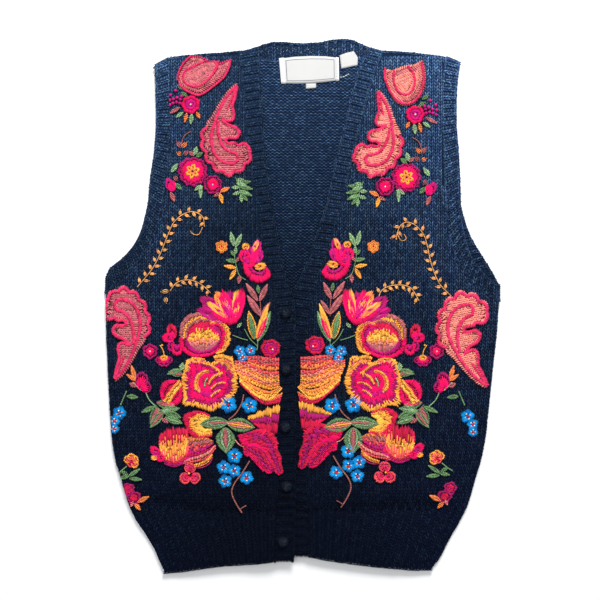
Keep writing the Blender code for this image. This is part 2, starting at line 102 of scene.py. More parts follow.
edges = {
    "sideRight": ((76, -202), (91, -207), (109, -212), (132, -219), (156, -223), (202, -226),
                  (261, -229), (296, -230), (328, -230)),
    "sideLeft": ((76, 192), (91, 197), (109, 202), (132, 209), (156, 214), (202, 219), (249, 224),
                 (284, 228), (319, 230)),
    "armSeamRight": ((328, -230), (336, -222), (344, -214), (355, -202), (369, -189), (381, -180),
                     (395, -174), (410, -169), (435, -164), (459, -161), (494, -157), (530, -155),
                     (565, -156), (602, -156)),
    "armFreeRight": ((346, -229), (355, -226), (366, -213), (378, -201), (390, -193), (401, -188),
                     (413, -185), (436, -180), (460, -178), (495, -173), (530, -171), (577, -172),
                     (594, -172.5)),
    "armSeamLeft": ((319, 230), (326, 217), (333, 206), (350, 192), (364, 182), (379, 176),
                    (394, 173), (419, 169), (459, 167), (495, 166), (530, 164), (565, 164),
                    (602, 168)),
    "armFreeLeft": ((337, 230), (345, 217), (360, 204), (371, 196.5), (384, 192.5), (397, 189),
                    (420, 185), (460, 184), (495, 182), (530, 180), (565, 180.5), (597, 184)),
    "bandSeamRight": ((16, -32), (74, -30), (109, -27), (292, -27), (314, -29), (338, -34),
                      (370, -42), (401, -47), (435, -53), (466, -57), (495, -61), (530, -66),
                      (563, -69), (616, -73)),
    "bandFreeRight": ((16, -10.5), (109, -8), (292, -8), (318, -10), (338, -16.5), (360, -23),
                      (399, -30), (435, -37), (466, -41), (507, -45), (563, -48.5), (616, -52)),
    "bandSeamLeft": ((21, 8), (74, 6), (109, 4), (261, 4), (292, 5), (314, 9), (338, 15.5),
                     (370, 26), (390, 33), (412, 40), (436, 47), (483, 57), (518, 66), (563, 77),
                     (600, 89), (612, 96)),
    "bandFreeLeft": ((21, -20), (109, -23), (282, -23), (301, -20), (319, -14), (338, -6),
                     (355, 2), (373, 9), (391, 15), (412, 22), (435, 29), (483, 39), (518, 48),
                     (563, 58), (600, 70), (615, 81)),
    "backFreeLeft": ((337, 230), (355, 220.5), (366, 213.5), (378, 206), (390, 199), (401, 194),
                     (413, 190), (436, 185), (460, 184)),
    "shoulderRight": ((-173, 593), (-156, 602.5), (-143, 605), (-120, 607), (-97, 608.5),
                      (-73, 611)),
    "shoulderLeft": ((96, 611), (114, 610), (137, 608), (161, 605), (168, 603.5), (184, 598)),
    "backTop": ((-97, 607.5), (-80, 606), (-65, 603.5), (-48, 600.5), (-32, 599), (0, 598.5),
                (32, 599.5), (56, 600.5), (73, 602.5), (88, 606), (100, 608)),
    "neckTop": ((-70, 612), (-62, 614), (-52, 617), (-44, 620), (-36, 622), (-26, 622.5),
                (-3, 621), (20, 622), (32, 624.5), (50, 626), (58, 625), (67, 621), (79, 616),
                (94, 611.5)),
    "hemSideRight": ((0, -161), (15, -168), (27, -173), (39, -178), (50, -187), (62, -195),
                     (76, -202)),
    "hemSideLeft": ((4, 150), (15, 159), (27, 166), (39, 170), (50, 178), (62, 185), (76, 192)),
    "hemEdgeRight": ((-164, 0), (-143, 2), (-120, 6), (-97, 9), (-73, 11), (-50, 13), (-32, 16)),
    "hemEdgeLeft": ((8, 21), (20, 18), (44, 14), (67, 11), (91, 8), (114, 6), (132, 4), (152, 4)),
}
at = {name: curve(rows) for name, rows in edges.items()}
panelRight = joined(edges["sideRight"], edges["armSeamRight"], vest["underarmRight"])
panelLeft = joined(edges["sideLeft"], edges["armSeamLeft"], vest["underarmLeft"])


def pacedOut(points, count):
    # the same run of points, walked in equal paces
    points = np.asarray(points, float)
    steps = np.hypot(*np.diff(points, axis=0).T)
    walked = np.concatenate([[0], np.cumsum(steps)])
    goals = np.linspace(0, walked[-1], count)
    return np.stack([np.interp(goals, walked, points[:, k]) for k in (0, 1)], axis=1)


def edgePoints(name, low=None, high=None):
    low = at[name].low if low is None else low
    high = at[name].high if high is None else high
    heights = np.linspace(low, high, int((high - low) / 3) + 2)
    return np.stack([at[name](heights), heights], axis=1)


def runLength(points):
    return float(np.hypot(*np.diff(points, axis=0).T).sum())


# ---- materials


class Value:
    # a socket that adds its Math nodes as an expression is written
    def __init__(self, finish, socket):
        self.finish, self.socket = finish, socket

    def maths(self, operation, *values):
        return self.finish.node("ShaderNodeMath", {"operation": operation}, values)

    def __add__(self, other): return self.maths("ADD", self, other)
    def __radd__(self, other): return self.maths("ADD", other, self)
    def __sub__(self, other): return self.maths("SUBTRACT", self, other)
    def __rsub__(self, other): return self.maths("SUBTRACT", other, self)
    def __mul__(self, other): return self.maths("MULTIPLY", self, other)
    def __rmul__(self, other): return self.maths("MULTIPLY", other, self)
    def __truediv__(self, other): return self.maths("DIVIDE", self, other)
    def __rtruediv__(self, other): return self.maths("DIVIDE", other, self)
    def __abs__(self): return self.maths("ABSOLUTE", self)
    def sine(self): return self.maths("SINE", self)
    def fraction(self): return self.maths("FRACT", self)
    def below(self, other): return self.maths("LESS_THAN", self, other)
    def power(self, other): return self.maths("POWER", self, other)


class Finish:
    # one material; node() adds a node from its type, settings and the values of its sockets
    def __init__(self, name, roughness, sheen=0.0, sheenColor=(1, 1, 1), specular=0.3):
        self.material = bpy.data.materials.new(name)
        self.material.use_nodes = True
        self.tree = self.material.node_tree
        self.shader = self.tree.nodes["Principled BSDF"]
        self.shader.inputs["Roughness"].default_value = roughness
        self.shader.inputs["Specular IOR Level"].default_value = specular
        self.shader.inputs["Sheen Weight"].default_value = sheen
        self.shader.inputs["Sheen Roughness"].default_value = 0.45
        self.shader.inputs["Sheen Tint"].default_value = (*sheenColor, 1)

    def node(self, kind, settings=None, values=(), output=0):
        made = self.tree.nodes.new(kind)
        for name, value in (settings or {}).items():
            setattr(made, name, value)
        pairs = values.items() if isinstance(values, dict) else enumerate(values)
        for key, value in pairs:
            self.put(made.inputs[key], value)
        return Value(self, made.outputs[output])

    def put(self, socket, value):
        if isinstance(value, Value):
            self.tree.links.new(value.socket, socket)
        else:
            socket.default_value = value

    def set(self, **values):
        for name, value in values.items():
            self.put(self.shader.inputs[name.replace("_", " ")], value)

    def place(self, scale=1000.0):
        # millimetres over the garment
        spot = self.node("ShaderNodeTexCoord", output="Object")
        return self.node("ShaderNodeMapping", {}, {"Vector": spot, "Scale": (scale,) * 3})

    def noise(self, where, scale, detail=2.0):
        return self.node("ShaderNodeTexNoise", {}, {"Vector": where, "Scale": scale,
                                                    "Detail": detail})

    def mixed(self, share, first, second):
        return self.node("ShaderNodeMix", {"data_type": "RGBA"},
                         {"Factor": share, 6: first, 7: second}, output=2)

    def tinted(self, color, factor):
        # a colour made darker or lighter by a number
        return self.node("ShaderNodeVectorMath", {"operation": "SCALE"},
                         {0: color, "Scale": factor})

    def bump(self, height, strength, distance=0.001):
        return self.node("ShaderNodeBump", {}, {"Height": height, "Strength": strength,
                                                "Distance": distance})


def tintMaterial(name, roughness, sheen, sheenColor, fleck, grain):
    # wool whose colour comes with each stitch, its painted shade and painted light included: fleck is its
    # uneven dye, grain its fuzz
    finish = Finish(name, roughness, sheen, sheenColor, specular=0.06)
    spot = finish.place()
    tintWithPaintedLight = finish.node("ShaderNodeAttribute", {"attribute_name": "tintWithPaintedLight"}, output="Color")
    dye = finish.noise(spot, 1.6, 3.0)
    fuzz = finish.noise(spot, 3.4, 2.0)
    finish.set(Base_Color=finish.tinted(tintWithPaintedLight, 1.0 - fleck + 2.0 * fleck * dye),
               Normal=finish.bump(fuzz, grain, 0.0006))
    return finish.material


def coreMaterial():
    # the plain cloth under the stitches: V stitches in relief, on Object coordinates; its colour is painted
    # darker in the hollows between courses as painted shade, and paler towards the shoulders as painted
    # light
    finish = Finish("knitCore", 0.9, 0.02, (0.35, 0.45, 0.7), specular=0.05)
    spot = finish.place()
    parts = {k: finish.node("ShaderNodeSeparateXYZ", {}, {0: spot}, output=k) for k in "XY"}
    wales = (parts["X"] / vest["wale"]).fraction()
    legs = abs(wales - 0.5)
    courses = parts["Y"] / vest["course"] + legs * 1.7
    stitch = (courses * (2 * math.pi)).sine() * 0.5 + 0.5
    column = 1.0 - abs(legs * 4.0 - 1.0)
    fuzz = finish.noise(spot, 2.5, 3.0)
    # painted shade: darker where the relief is low between the courses
    low = finish.mixed(stitch * 0.6 + fuzz * 0.3, (0.0010, 0.0018, 0.0060, 1),
                       (0.0035, 0.0065, 0.0200, 1))
    # painted light: the colour grows paler and bluer towards the shoulders
    high = ((parts["Y"] + vest["length"] / 2) / 600.0).power(2.6)
    finish.set(Base_Color=finish.mixed(high * 0.7, low, (0.0110, 0.0290, 0.0680, 1)),
               Normal=finish.bump(stitch * 0.6 + column * 0.5 + fuzz * 0.25, 0.9, 0.0012))
    return finish.material


finishes = {
    "core": coreMaterial(),
    "knit": tintMaterial("knitYarn", 0.85, 0.02, (0.45, 0.6, 1.0), 0.35, 0.5),
    "wool": tintMaterial("embroideryWool", 0.78, 0.05, (1.0, 0.9, 0.85), 0.16, 0.45),
}

# ---- mesh tools


def finishPiece(piece, material, replaced=()):
    piece.data.materials.clear()
    piece.data.materials.append(material)
    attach(piece, "root")
    if replaced:
        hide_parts(*replaced)
    return piece


def pieceFromBmesh(name, bm):
    mesh = bpy.data.meshes.new(name)
    bm.to_mesh(mesh)
    mesh.shade_smooth()
    piece = bpy.data.objects.new(name, mesh)
    bpy.context.scene.collection.objects.link(piece)
    return piece


def prototype(build):
    # a small shape made by bmesh operators, as arrays for joined copies
    bm = bmesh.new()
    build(bm)
    bmesh.ops.triangulate(bm, faces=bm.faces)
    bmesh.ops.recalc_face_normals(bm, faces=bm.faces)
    bm.verts.index_update()
    points = np.array([v.co for v in bm.verts], float)
    faces = np.array([[v.index for v in f.verts] for f in bm.faces], int)
    bm.free()
    return points, faces


def spindle(bm, sides, rings, width, length, depth, blunt):
    # a closed strand along Y: blunt is how full its ends are
    bmesh.ops.create_uvsphere(bm, u_segments=sides, v_segments=rings, radius=1.0)
    bmesh.ops.rotate(bm, verts=bm.verts, matrix=Matrix.Rotation(math.pi / 2, 3, "X"))
    ridge = max(bm.verts, key=lambda v: math.hypot(v.co.x, v.co.z))
    upright = math.pi / 2 - math.atan2(ridge.co.z, ridge.co.x)
    bmesh.ops.rotate(bm, verts=bm.verts, matrix=Matrix.Rotation(-upright, 3, "Y"))
    for v in bm.verts:
        x, y, z = v.co
        turn = math.acos(min(max(y, -1.0), 1.0)) / math.pi      # 0 to 1 from end to end
        girth = math.hypot(x, z)
        fuller = (girth ** blunt / girth) if girth > 1e-6 else 1.0
        v.co = (x * fuller * width / 2, (1.0 - 2.0 * turn) * length / 2, z * fuller * depth / 2)


def legShape(bm):
    # left leg of a V: its lower end is near the middle and in front
    spindle(bm, 3, 4, 3.0, 5.7, 2.5, 0.65)
    for v in bm.verts:
        x, y, z = v.co
        v.co = (x * 1.0 - 1.26 - 0.33 * y, y, z * 0.95 - 0.13 * y)


def bumpShape(bm):
    # purl bump: a short strand across the wale, its ends turned down
    spindle(bm, 3, 4, 2.2, 5.0, 2.2, 0.6)
    bmesh.ops.rotate(bm, verts=bm.verts, matrix=Matrix.Rotation(math.pi / 2, 3, "Z"))
    for v in bm.verts:
        x, y, z = v.co
        v.co = (x, y - 0.11 * x * x + 0.3, z - 0.06 * x * x)


def threadShape(bm):
    # one embroidery thread, from y -1 to 1, unit width
    spindle(bm, 3, 5, 1.2, 2.0, 1.1, 0.3)


def shortThreadShape(bm):
    spindle(bm, 3, 4, 1.2, 2.0, 1.1, 0.3)


shapes = {"leg": prototype(legShape), "bump": prototype(bumpShape),
          "thread": prototype(threadShape), "shortThread": prototype(shortThreadShape)}


def paintedShade(points, low, high):
    # painted shade where a strand goes down between its neighbours, painted highlight on its back
    z = points[:, 2]
    return (low + (high - low) * (z - z.min()) / (z.max() - z.min()))[None, :, None]


def mirrored(shape):
    points, faces = shape
    return points * (-1, 1, 1), faces[:, ::-1]


def joinedPiece(name, parts, material, replaced=()):
    # parts: (points n x v x 3 in metres, faces of one copy, tints n x 3 or n x v x 3, painted shade and
    # light included)
    allPoints, allFaces, allTintsWithPaintedLight, start = [], [], [], 0
    for points, faces, tints in parts:
        count, each = points.shape[:2]
        if not count:
            continue
        tints = np.broadcast_to(tints if tints.ndim == 3 else tints[:, None, :],
                                (count, each, 3))
        allPoints.append(points.reshape(-1, 3))
        allTintsWithPaintedLight.append(tints.reshape(-1, 3))
        offsets = start + each * np.arange(count)
        allFaces.append((faces[None] + offsets[:, None, None]).reshape(-1, 3))
        start += count * each
    points = np.concatenate(allPoints)
    faces = np.concatenate(allFaces)
    tints = np.concatenate(allTintsWithPaintedLight)
    mesh = bpy.data.meshes.new(name)
    mesh.vertices.add(len(points))
    mesh.vertices.foreach_set("co", points.astype(np.float32).ravel())
    mesh.loops.add(faces.size)
    mesh.loops.foreach_set("vertex_index", faces.astype(np.int32).ravel())
    mesh.polygons.add(len(faces))
    mesh.polygons.foreach_set("loop_start", np.arange(0, faces.size, 3, dtype=np.int32))
    mesh.update(calc_edges=True)
    mesh.shade_smooth()
    # each stitch's colour, with its painted shade and painted light
    tintWithPaintedLight = mesh.attributes.new("tintWithPaintedLight", "FLOAT_COLOR", "POINT")
    color = np.concatenate([tints, np.ones((len(tints), 1))], axis=1)
    tintWithPaintedLight.data.foreach_set("color", color.astype(np.float32).ravel())
    piece = bpy.data.objects.new(name, mesh)
    bpy.context.scene.collection.objects.link(piece)
    print(f"  {name}: {len(faces)} triangles")
    return finishPiece(piece, material, replaced)


# ---- plain cloth under the stitches, on the form of each solid

creases = (  # x0, height0, x1, height1, reach, lift: ridges above 0, troughs below
    (34, 412, 112, 420, 12, 1.6), (52, 438, 118, 446, 9, 0.8), (60, 392, 120, 402, 9, -1.0),
    (72, 340, 138, 376, 12, -1.2), (118, 330, 176, 352, 10, 1.2), (150, 300, 205, 318, 9, 1.0),
    (-58, 420, -114, 411, 12, 1.2), (-80, 446, -128, 440, 9, 0.8), (-149, 352, -94, 374, 12, -1.0),
    (-200, 322, -150, 338, 10, 1.2), (-214, 290, -160, 304, 9, 0.9),
    (-196, 84, -110, 78, 8, -1.6), (48, 77, 158, 80, 8, -1.6), (-190, 104, -60, 98, 13, 1.2),
    (30, 98, 180, 102, 13, 1.2), (-122, 520, -112, 592, 9, 0.8), (128, 500, 120, 590, 9, 0.8),
    (-150, 440, -138, 520, 8, -0.5), (150, 430, 142, 510, 8, -0.5),
)


def creaseLift(x, height):
    total = np.zeros(np.broadcast(x, height).shape)
    for x0, height0, x1, height1, reach, lift in creases:
        dx, dh = x1 - x0, height1 - height0
        t = np.clip(((x - x0) * dx + (height - height0) * dh) / (dx * dx + dh * dh), 0, 1)
        away = np.hypot(x - x0 - t * dx, height - height0 - t * dh)
        total = total + lift * np.exp(-(away / reach) ** 2) * (0.6 + 0.4 * np.sin(t * 5 + x0))
    return total


trees = {}


def clothCore(node, cuts, inset, creased):
    # a copy of the solid's mesh, made of closer rows, its upper face let down for the stitches
    bm = bmesh.new()
    bm.from_mesh(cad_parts[node].data)
    bmesh.ops.remove_doubles(bm, verts=bm.verts, dist=1e-5)
    bmesh.ops.join_triangles(bm, faces=bm.faces, angle_face_threshold=math.radians(35),
                             angle_shape_threshold=math.radians(60))
    if cuts:
        bmesh.ops.subdivide_edges(bm, edges=bm.edges, cuts=cuts, use_grid_fill=True)
        for _ in range(2):
            bm.normal_update()
            flat = [v for v in bm.verts if abs(v.normal.z) > 0.96]
            bmesh.ops.smooth_vert(bm, verts=flat, factor=0.5, use_axis_z=True)
    bm.normal_update()
    for v in bm.verts:
        v.co -= v.normal * (inset * 0.001 * max(v.normal.z + 0.3, 0.0) / 1.3)
    if creased:
        points = np.array([v.co for v in bm.verts]) * 1000
        lift = creaseLift(points[:, 0], points[:, 1] + vest["length"] / 2)
        for v, up in zip(bm.verts, lift):
            v.co.z = max(v.co.z + up * 0.001, 0.0031)
    trees[node] = BVHTree.FromBMesh(bm)
    piece = pieceFromBmesh("cloth_" + node, bm)
    bm.free()
    return finishPiece(piece, finishes["core"], (node,))


print("cloth")
for node, cuts, creased in (("back_panel", 2, False), ("front_right", 3, True),
                            ("front_left", 3, True), ("hem_rib_back", 1, False),
                            ("hem_rib_front_right", 1, True), ("hem_rib_front_left", 1, True),
                            ("neck_band", 0, False), ("front_band_right", 0, True),
                            ("front_band_left", 0, True), ("armhole_band_right", 0, False),
                            ("armhole_band_left", 0, False)):
    clothCore(node, cuts, vest["core"], creased)


class Ground:
    # heights of the upper face of some cores on a 2 mm grid, in millimetres
    def __init__(self, nodes, smoothing):
        self.x0, self.h0, self.step = -246.0, -10.0, 2.0
        columns, rows = 247, 332
        grid = np.full((rows, columns), np.nan)
        down = Vector((0, 0, -1))
        for j in range(rows):
            y = (self.h0 + j * self.step - vest["length"] / 2) * 0.001
            for i in range(columns):
                start = Vector(((self.x0 + i * self.step) * 0.001, y, 0.1))
                for node in nodes:
                    hit = trees[node].ray_cast(start, down)[0]
                    if hit and not hit.z * 1000 < grid[j, i]:
                        grid[j, i] = hit.z * 1000
        for _ in range(14):     # carry the edge heights outwards
            empty = np.isnan(grid)
            around = np.stack([np.roll(grid, s, a) for s in (1, -1) for a in (0, 1)])
            known = ~np.isnan(around)
            count = known.sum(0)
            mean = np.where(known, around, 0).sum(0) / np.maximum(count, 1)
            grid = np.where(empty & (count > 0), mean, grid)
        grid = np.where(np.isnan(grid), np.nanmean(grid), grid)
        for _ in range(smoothing):
            for axis in (0, 1):
                grid = (np.roll(grid, 1, axis) + 2 * grid + np.roll(grid, -1, axis)) / 4
        self.grid = grid

    def __call__(self, x, height):
        u = np.clip((x - self.x0) / self.step, 0, self.grid.shape[1] - 1.001)
        v = np.clip((height - self.h0) / self.step, 0, self.grid.shape[0] - 1.001)
        i, j = u.astype(int), v.astype(int)
        s, t = u - i, v - j
        g = self.grid
        return ((g[j, i] * (1 - s) + g[j, i + 1] * s) * (1 - t)
                + (g[j + 1, i] * (1 - s) + g[j + 1, i + 1] * s) * t)


print("heights of the cloth")
ground = {
    "right": Ground(("front_right", "front_band_right", "hem_rib_front_right",
                     "armhole_band_right"), 2),
    "left": Ground(("front_left", "front_band_left", "hem_rib_front_left",
                    "armhole_band_left"), 2),
    "back": Ground(("back_panel", "neck_band"), 2),
}

# ---- embroidery in thick wool


def linear(red, green, blue):
    # screen colour, 0 to 255, as light
    share = np.array((red, green, blue)) / 255
    return np.where(share <= 0.04045, share / 12.92, ((share + 0.055) / 1.055) ** 2.4)


wool = {
    "pink": linear(234, 14, 94), "magenta": linear(190, 24, 116), "crimson": linear(206, 28, 72),
    "plum": linear(172, 26, 104), "coral": linear(236, 84, 88), "salmon": linear(230, 136, 124),
    "rose": linear(184, 102, 106), "orange": linear(244, 138, 74), "gold": linear(246, 168, 68),
    "yellow": linear(250, 188, 78), "sage": linear(104, 140, 94), "mint": linear(142, 176, 130),
    "brown": linear(156, 94, 88), "vine": linear(238, 172, 104), "blue": linear(0, 122, 194),
    "sky": linear(8, 150, 222), "red": linear(210, 30, 66), "pearl": linear(236, 218, 204),
    # the slit colour is near black: painted shade for the buttonhole's opening
    "night": linear(20, 18, 32), "paintedSlitShade": linear(7, 6, 10),
    "rosy": linear(226, 50, 102), "dusty": linear(190, 102, 110),
    "cotton": linear(226, 224, 220),
}


def smoothRun(points, count, closed=False):
    # points on an even walk along a soft curve through some points
    p = np.asarray(points, float)
    if closed:
        p = np.concatenate([p[-1:], p, p[:2]])
    else:
        p = np.concatenate([2 * p[:1] - p[1:2], p, 2 * p[-1:] - p[-2:-1]])
    t = np.linspace(0, 1, 9)[:-1, None]
    dense = [0.5 * (2 * b + (c - a) * t + (2 * a - 5 * b + 4 * c - d) * t ** 2
                    + (3 * b - a - 3 * c + d) * t ** 3)
             for a, b, c, d in zip(p, p[1:], p[2:], p[3:])]
    return pacedOut(np.concatenate(dense + [p[-2:-1]]), count)


def bandsOf(stops):
    # "gold .3 pink 1" as [("gold", 0, .3), ("pink", .3, 1)]
    words = stops.split()
    ends = [float(w) for w in words[1::2]]
    return list(zip(words[0::2], [0.0] + ends[:-1], ends))


class Needlework:
    # threads on one front, kept as rows of numbers until their mesh is made
    def __init__(self, layer):
        self.layer, self.rows = layer, []
        self.dice = np.random.default_rng(5)

    def onto(self, middle, to, flip, turn):
        self.middle, self.to, self.flip = np.array(middle), np.array(to), flip
        c, s = math.cos(math.radians(turn)), math.sin(math.radians(turn))
        self.turned = np.array(((c, s), (-s, c)))

    def sew(self, starts, ends, width, first, last, lift=0.0, arch=0.3, bow=0.0):
        def moved(points):
            return ((np.asarray(points, float) - self.middle) * (self.flip, 1)) @ self.turned \
                + self.to
        starts, ends = moved(np.atleast_2d(starts)), moved(np.atleast_2d(ends))
        count = len(starts)
        numbers = [np.broadcast_to(np.asarray(v, float), count)[:, None]
                   for v in (width, lift, arch, np.asarray(bow) * self.flip)]
        dye = 1 + self.dice.normal(0, 0.17, (count, 1)).clip(-0.36, 0.36) \
            + self.dice.normal(0, 0.05, (count, 3))
        tints = [np.broadcast_to(wool[name], (count, 3)) * dye for name in (first, last)]
        self.rows.append(np.concatenate([starts, ends] + numbers + tints, axis=1))

    def patch(self, edge, core, stops, pace=1.7, ragged=0.09, lift=0.0, scallops=0, dip=0.0,
              closed=False, under=0.08):
        # long and short stitches from an edge in to a core, in rows of colour
        length = runLength(smoothRun(edge, 60, closed))
        count = max(int(length / pace), 3)
        e, c = smoothRun(edge, count, closed), smoothRun(core, count, closed)
        if scallops:
            wave = np.abs(np.sin(math.pi * scallops * np.linspace(0, 1, count)))[:, None]
            e = e + (c - e) * dip * (1 - wave)
        even = np.where(np.arange(count) % 2, 1.0, -1.0)
        bands = bandsOf(stops)
        border = 0.03 * self.dice.normal(size=count)
        for k, (color, start, end) in enumerate(bands):
            last = k == len(bands) - 1
            following = (0.02 * self.dice.normal(size=count) if last else
                         ragged * (0.35 * even + 0.8 * self.dice.normal(size=count).clip(-1, 1)))
            s0 = (start + border)[:, None]
            s1 = (end + following + (under if last else 0.05))[:, None]
            a, b = e + (c - e) * s0, e + (c - e) * s1
            border = following
            middle = (a + b) / 2
            spacing = float(np.hypot(*np.diff(middle, axis=0).T).mean())
            stride = max(1, int(round(0.85 * pace / max(spacing, 0.05))))
            pick = np.arange(k % stride, count, stride)
            span = np.hypot(*(b - a)[pick].T)
            pick, span = pick[span > 0.5], span[span > 0.5]
            if len(pick):
                wide = np.clip(spacing * stride * 1.22, 1.35, 2.2)
                self.sew(a[pick], b[pick], wide * self.dice.uniform(0.92, 1.08, len(pick)),
                         color, color, lift + 0.12 * self.dice.uniform(size=len(pick)) - 0.1 * k,
                         0.25 + 0.035 * span)

    def fill(self, outline, rows, pace=1.75, slant=32, lift=0.1):
        # rows of short slanted stitches that follow an outline inwards, "pink 2 salmon 3"
        length = runLength(smoothRun(outline, 60, True))
        edge = smoothRun(outline, int(length / 0.9) + 1, True)[:-1]
        way = np.roll(edge, -1, 0) - np.roll(edge, 1, 0)
        turning = (edge[:, 0] * np.roll(edge[:, 1], -1) - edge[:, 1] * np.roll(edge[:, 0], -1)).sum()
        inward = np.stack([-way[:, 1], way[:, 0]], axis=1) * np.sign(turning)
        inward = inward / np.maximum(np.hypot(*inward.T), 1e-6)[:, None]
        words = rows.split()
        colors, depths = words[0::2], [float(w) for w in words[1::2]]
        depth, k = 0.0, 0
        self.padding(edge, lift - 0.3, colors[-1])
        while k < 14:
            color, tall = colors[min(k, len(colors) - 1)], depths[min(k, len(colors) - 1)]
            spots = edge + inward * (depth + tall / 2)
            gaps = np.hypot(spots[:, None, 0] - edge[None, :, 0], spots[:, None, 1] - edge[None, :, 1])
            kept = np.flatnonzero(gaps.min(1) > 0.9 * (depth + tall / 2))
            if not len(kept):
                break
            picked = [kept[0]]
            for i in kept:
                if np.hypot(*(spots[i] - spots[picked[-1]])) >= pace:
                    picked.append(i)
            picked = np.array(picked)
            angle = math.radians(slant if k % 2 else -slant)
            lean = inward[picked] @ np.array(((math.cos(angle), math.sin(angle)),
                                              (-math.sin(angle), math.cos(angle))))
            reach = tall * 0.66 * self.dice.uniform(0.9, 1.25, (len(picked), 1))
            self.sew(spots[picked] - lean * reach, spots[picked] + lean * reach, pace * 1.3,
                     color, color, lift + 0.1 * self.dice.uniform(size=len(picked)) + 0.06 * k,
                     0.3)
            depth, k = depth + tall, k + 1

    def padding(self, outline, lift, color):
        # wide threads side by side under a filled shape
        middle = outline.mean(0)
        axis, cross = np.linalg.svd(outline - middle, full_matrices=False)[2]
        along, out = (outline - middle) @ axis, (outline - middle) @ cross
        for station in np.arange(along.min() + 1.2, along.max() - 0.6, 2.3):
            before = along - station
            after = np.roll(before, -1)
            at = np.flatnonzero(before * after < 0)
            share = before[at] / (before[at] - after[at])
            ends = np.sort(out[at] + (np.roll(out, -1)[at] - out[at]) * share)
            for low, high in zip(ends[0::2], ends[1::2]):
                if high - low > 2.5:
                    self.sew([middle + axis * station + cross * (low + 0.8)],
                             [middle + axis * station + cross * (high - 0.8)], 3.3, color,
                             color, lift, 0.0)

    def petal(self, base, tip, width, stops, lift=0.0, full=0.55, spread=148, **more):
        base, tip = np.array(base, float), np.array(tip, float)
        axis = tip - base
        side = np.array((-axis[1], axis[0])) / np.hypot(*axis)
        turns = np.radians(np.linspace(-spread, spread, 17))
        along = full + np.where(np.cos(turns) > 0, 1 - full, full) * np.cos(turns)
        out = width / 2 * np.sin(turns)
        edge = base + along[:, None] * axis + out[:, None] * side
        core = base + (0.10 + 0.08 * np.cos(turns))[:, None] * axis + 0.14 * out[:, None] * side
        self.patch(edge, core, stops, lift=lift + 0.3, **more)

    def petalAt(self, middle, turn, length, width, stops, **more):
        way = np.array((math.cos(math.radians(turn)), math.sin(math.radians(turn))))
        middle = np.array(middle)
        self.petal(middle + way * length * 0.12, middle + way * length, width, stops, **more)

    def leaf(self, base, tip, width, stops, lift=0.0, rib=None):
        # two halves of slanted stitches on a midrib
        base, tip = np.array(base, float), np.array(tip, float)
        axis = tip - base
        side = np.array((-axis[1], axis[0])) / np.hypot(*axis)
        u = np.linspace(0.06, 1, 9)
        out = width / 2 * np.sin(math.pi * u ** 0.9) ** 0.8
        vein = base + np.clip(u - 0.16, 0, 1)[:, None] * axis
        for hand in (1, -1):
            edge = base + u[:, None] * axis + hand * out[:, None] * side
            core = vein - hand * 0.25 * side
            self.patch(edge, core, stops if width > 9 else stops.split()[0] + " 1", pace=1.7,
                       ragged=0.06, lift=lift + 0.2)
        if rib:
            self.line((base, base + axis * 0.45, base + axis * 0.9), rib, 1.6, lift + 0.6)

    def blossom(self, middle, rx, ry, stops, scallops, dip, pace=1.75, lift=0.2):
        turns = np.radians(np.arange(0, 360, 4))
        wave = 1 - dip * (1 - np.abs(np.sin(scallops * turns / 2))) + 0.025 * np.sin(3 * turns)
        ring = np.stack([rx * np.cos(turns), ry * np.sin(turns)], axis=1)
        edge = np.array(middle) + ring * wave[:, None]
        core = np.array(middle) + 0.1 * ring
        self.patch(edge, core, stops, pace=pace, lift=lift, closed=True)

    def flower(self, middle, radius, stops, scallops, dip=0.12):
        self.blossom(middle, radius, radius, stops, scallops, dip, pace=1.5)

    def forget(self, middle, radius):
        # small flower of five satin petals with a red and cream heart
        first = self.dice.uniform(0, 72)
        for k in range(5):
            self.petalAt(middle, first + 72 * k, radius, radius * 0.88,
                         "blue 1" if k % 2 else "sky 1", pace=1.7)
        middle = np.array(middle)
        for k in range(4):
            way = np.radians(first + 36 + 90 * k)
            spot = middle + 0.34 * radius * np.array((math.cos(way), math.sin(way)))
            self.knot(spot, 2.7, "gold" if k % 2 else "pearl", lift=1.2)
        self.knot(middle, 3.7, "red", lift=1.4)

    def bar(self, base, tip, width, color):
        base, tip = np.array(base, float), np.array(tip, float)
        axis = tip - base
        side = np.array((-axis[1], axis[0])) / np.hypot(*axis)
        count = max(int(width / 1.3), 2)
        shift = np.linspace(-1, 1, count)[:, None] * side * (width - 1.4) / 2
        self.sew(base + shift * 0.5, tip + shift * 0.8, 1.7, color, color, 0.2, 0.9,
                 bow=np.linspace(-1, 1, count) * 0.35)

    def line(self, points, color, width=1.4, lift=0.0):
        # stem stitch: short threads that overlap along a line
        length = runLength(smoothRun(points, 60))
        count = max(int(length / 2.3), 2)
        spots = smoothRun(points, count + 1)
        step = np.diff(spots, axis=0)
        side = np.stack([-step[:, 1], step[:, 0]], axis=1) * 0.07
        self.sew(spots[:-1] - step * 0.28 - side, spots[1:] + step * 0.28 + side, width, color,
                 color, lift + 0.25, 0.2)

    def rope(self, points, color, width=4.2, lift=0.9, slant=34):
        # satin stitch: slanted threads side by side along a line, wide as a cord
        count = max(int(runLength(smoothRun(points, 80)) / 1.7), 3)
        spots = smoothRun(points, count)
        way = np.gradient(spots, axis=0)
        way = way / np.maximum(np.hypot(*way.T), 1e-6)[:, None]
        side = np.stack([-way[:, 1], way[:, 0]], axis=1)
        angle = math.radians(slant)
        reach = (side * math.cos(angle) + way * math.sin(angle)) * width / 2 \
            * self.dice.uniform(0.86, 1.12, (count, 1))
        self.sew(spots - reach, spots + reach, 2.15, color, color,
                 lift + 0.12 * self.dice.uniform(size=count), 0.5)

    def loop(self, base, tip, width, color, lift=0.0):
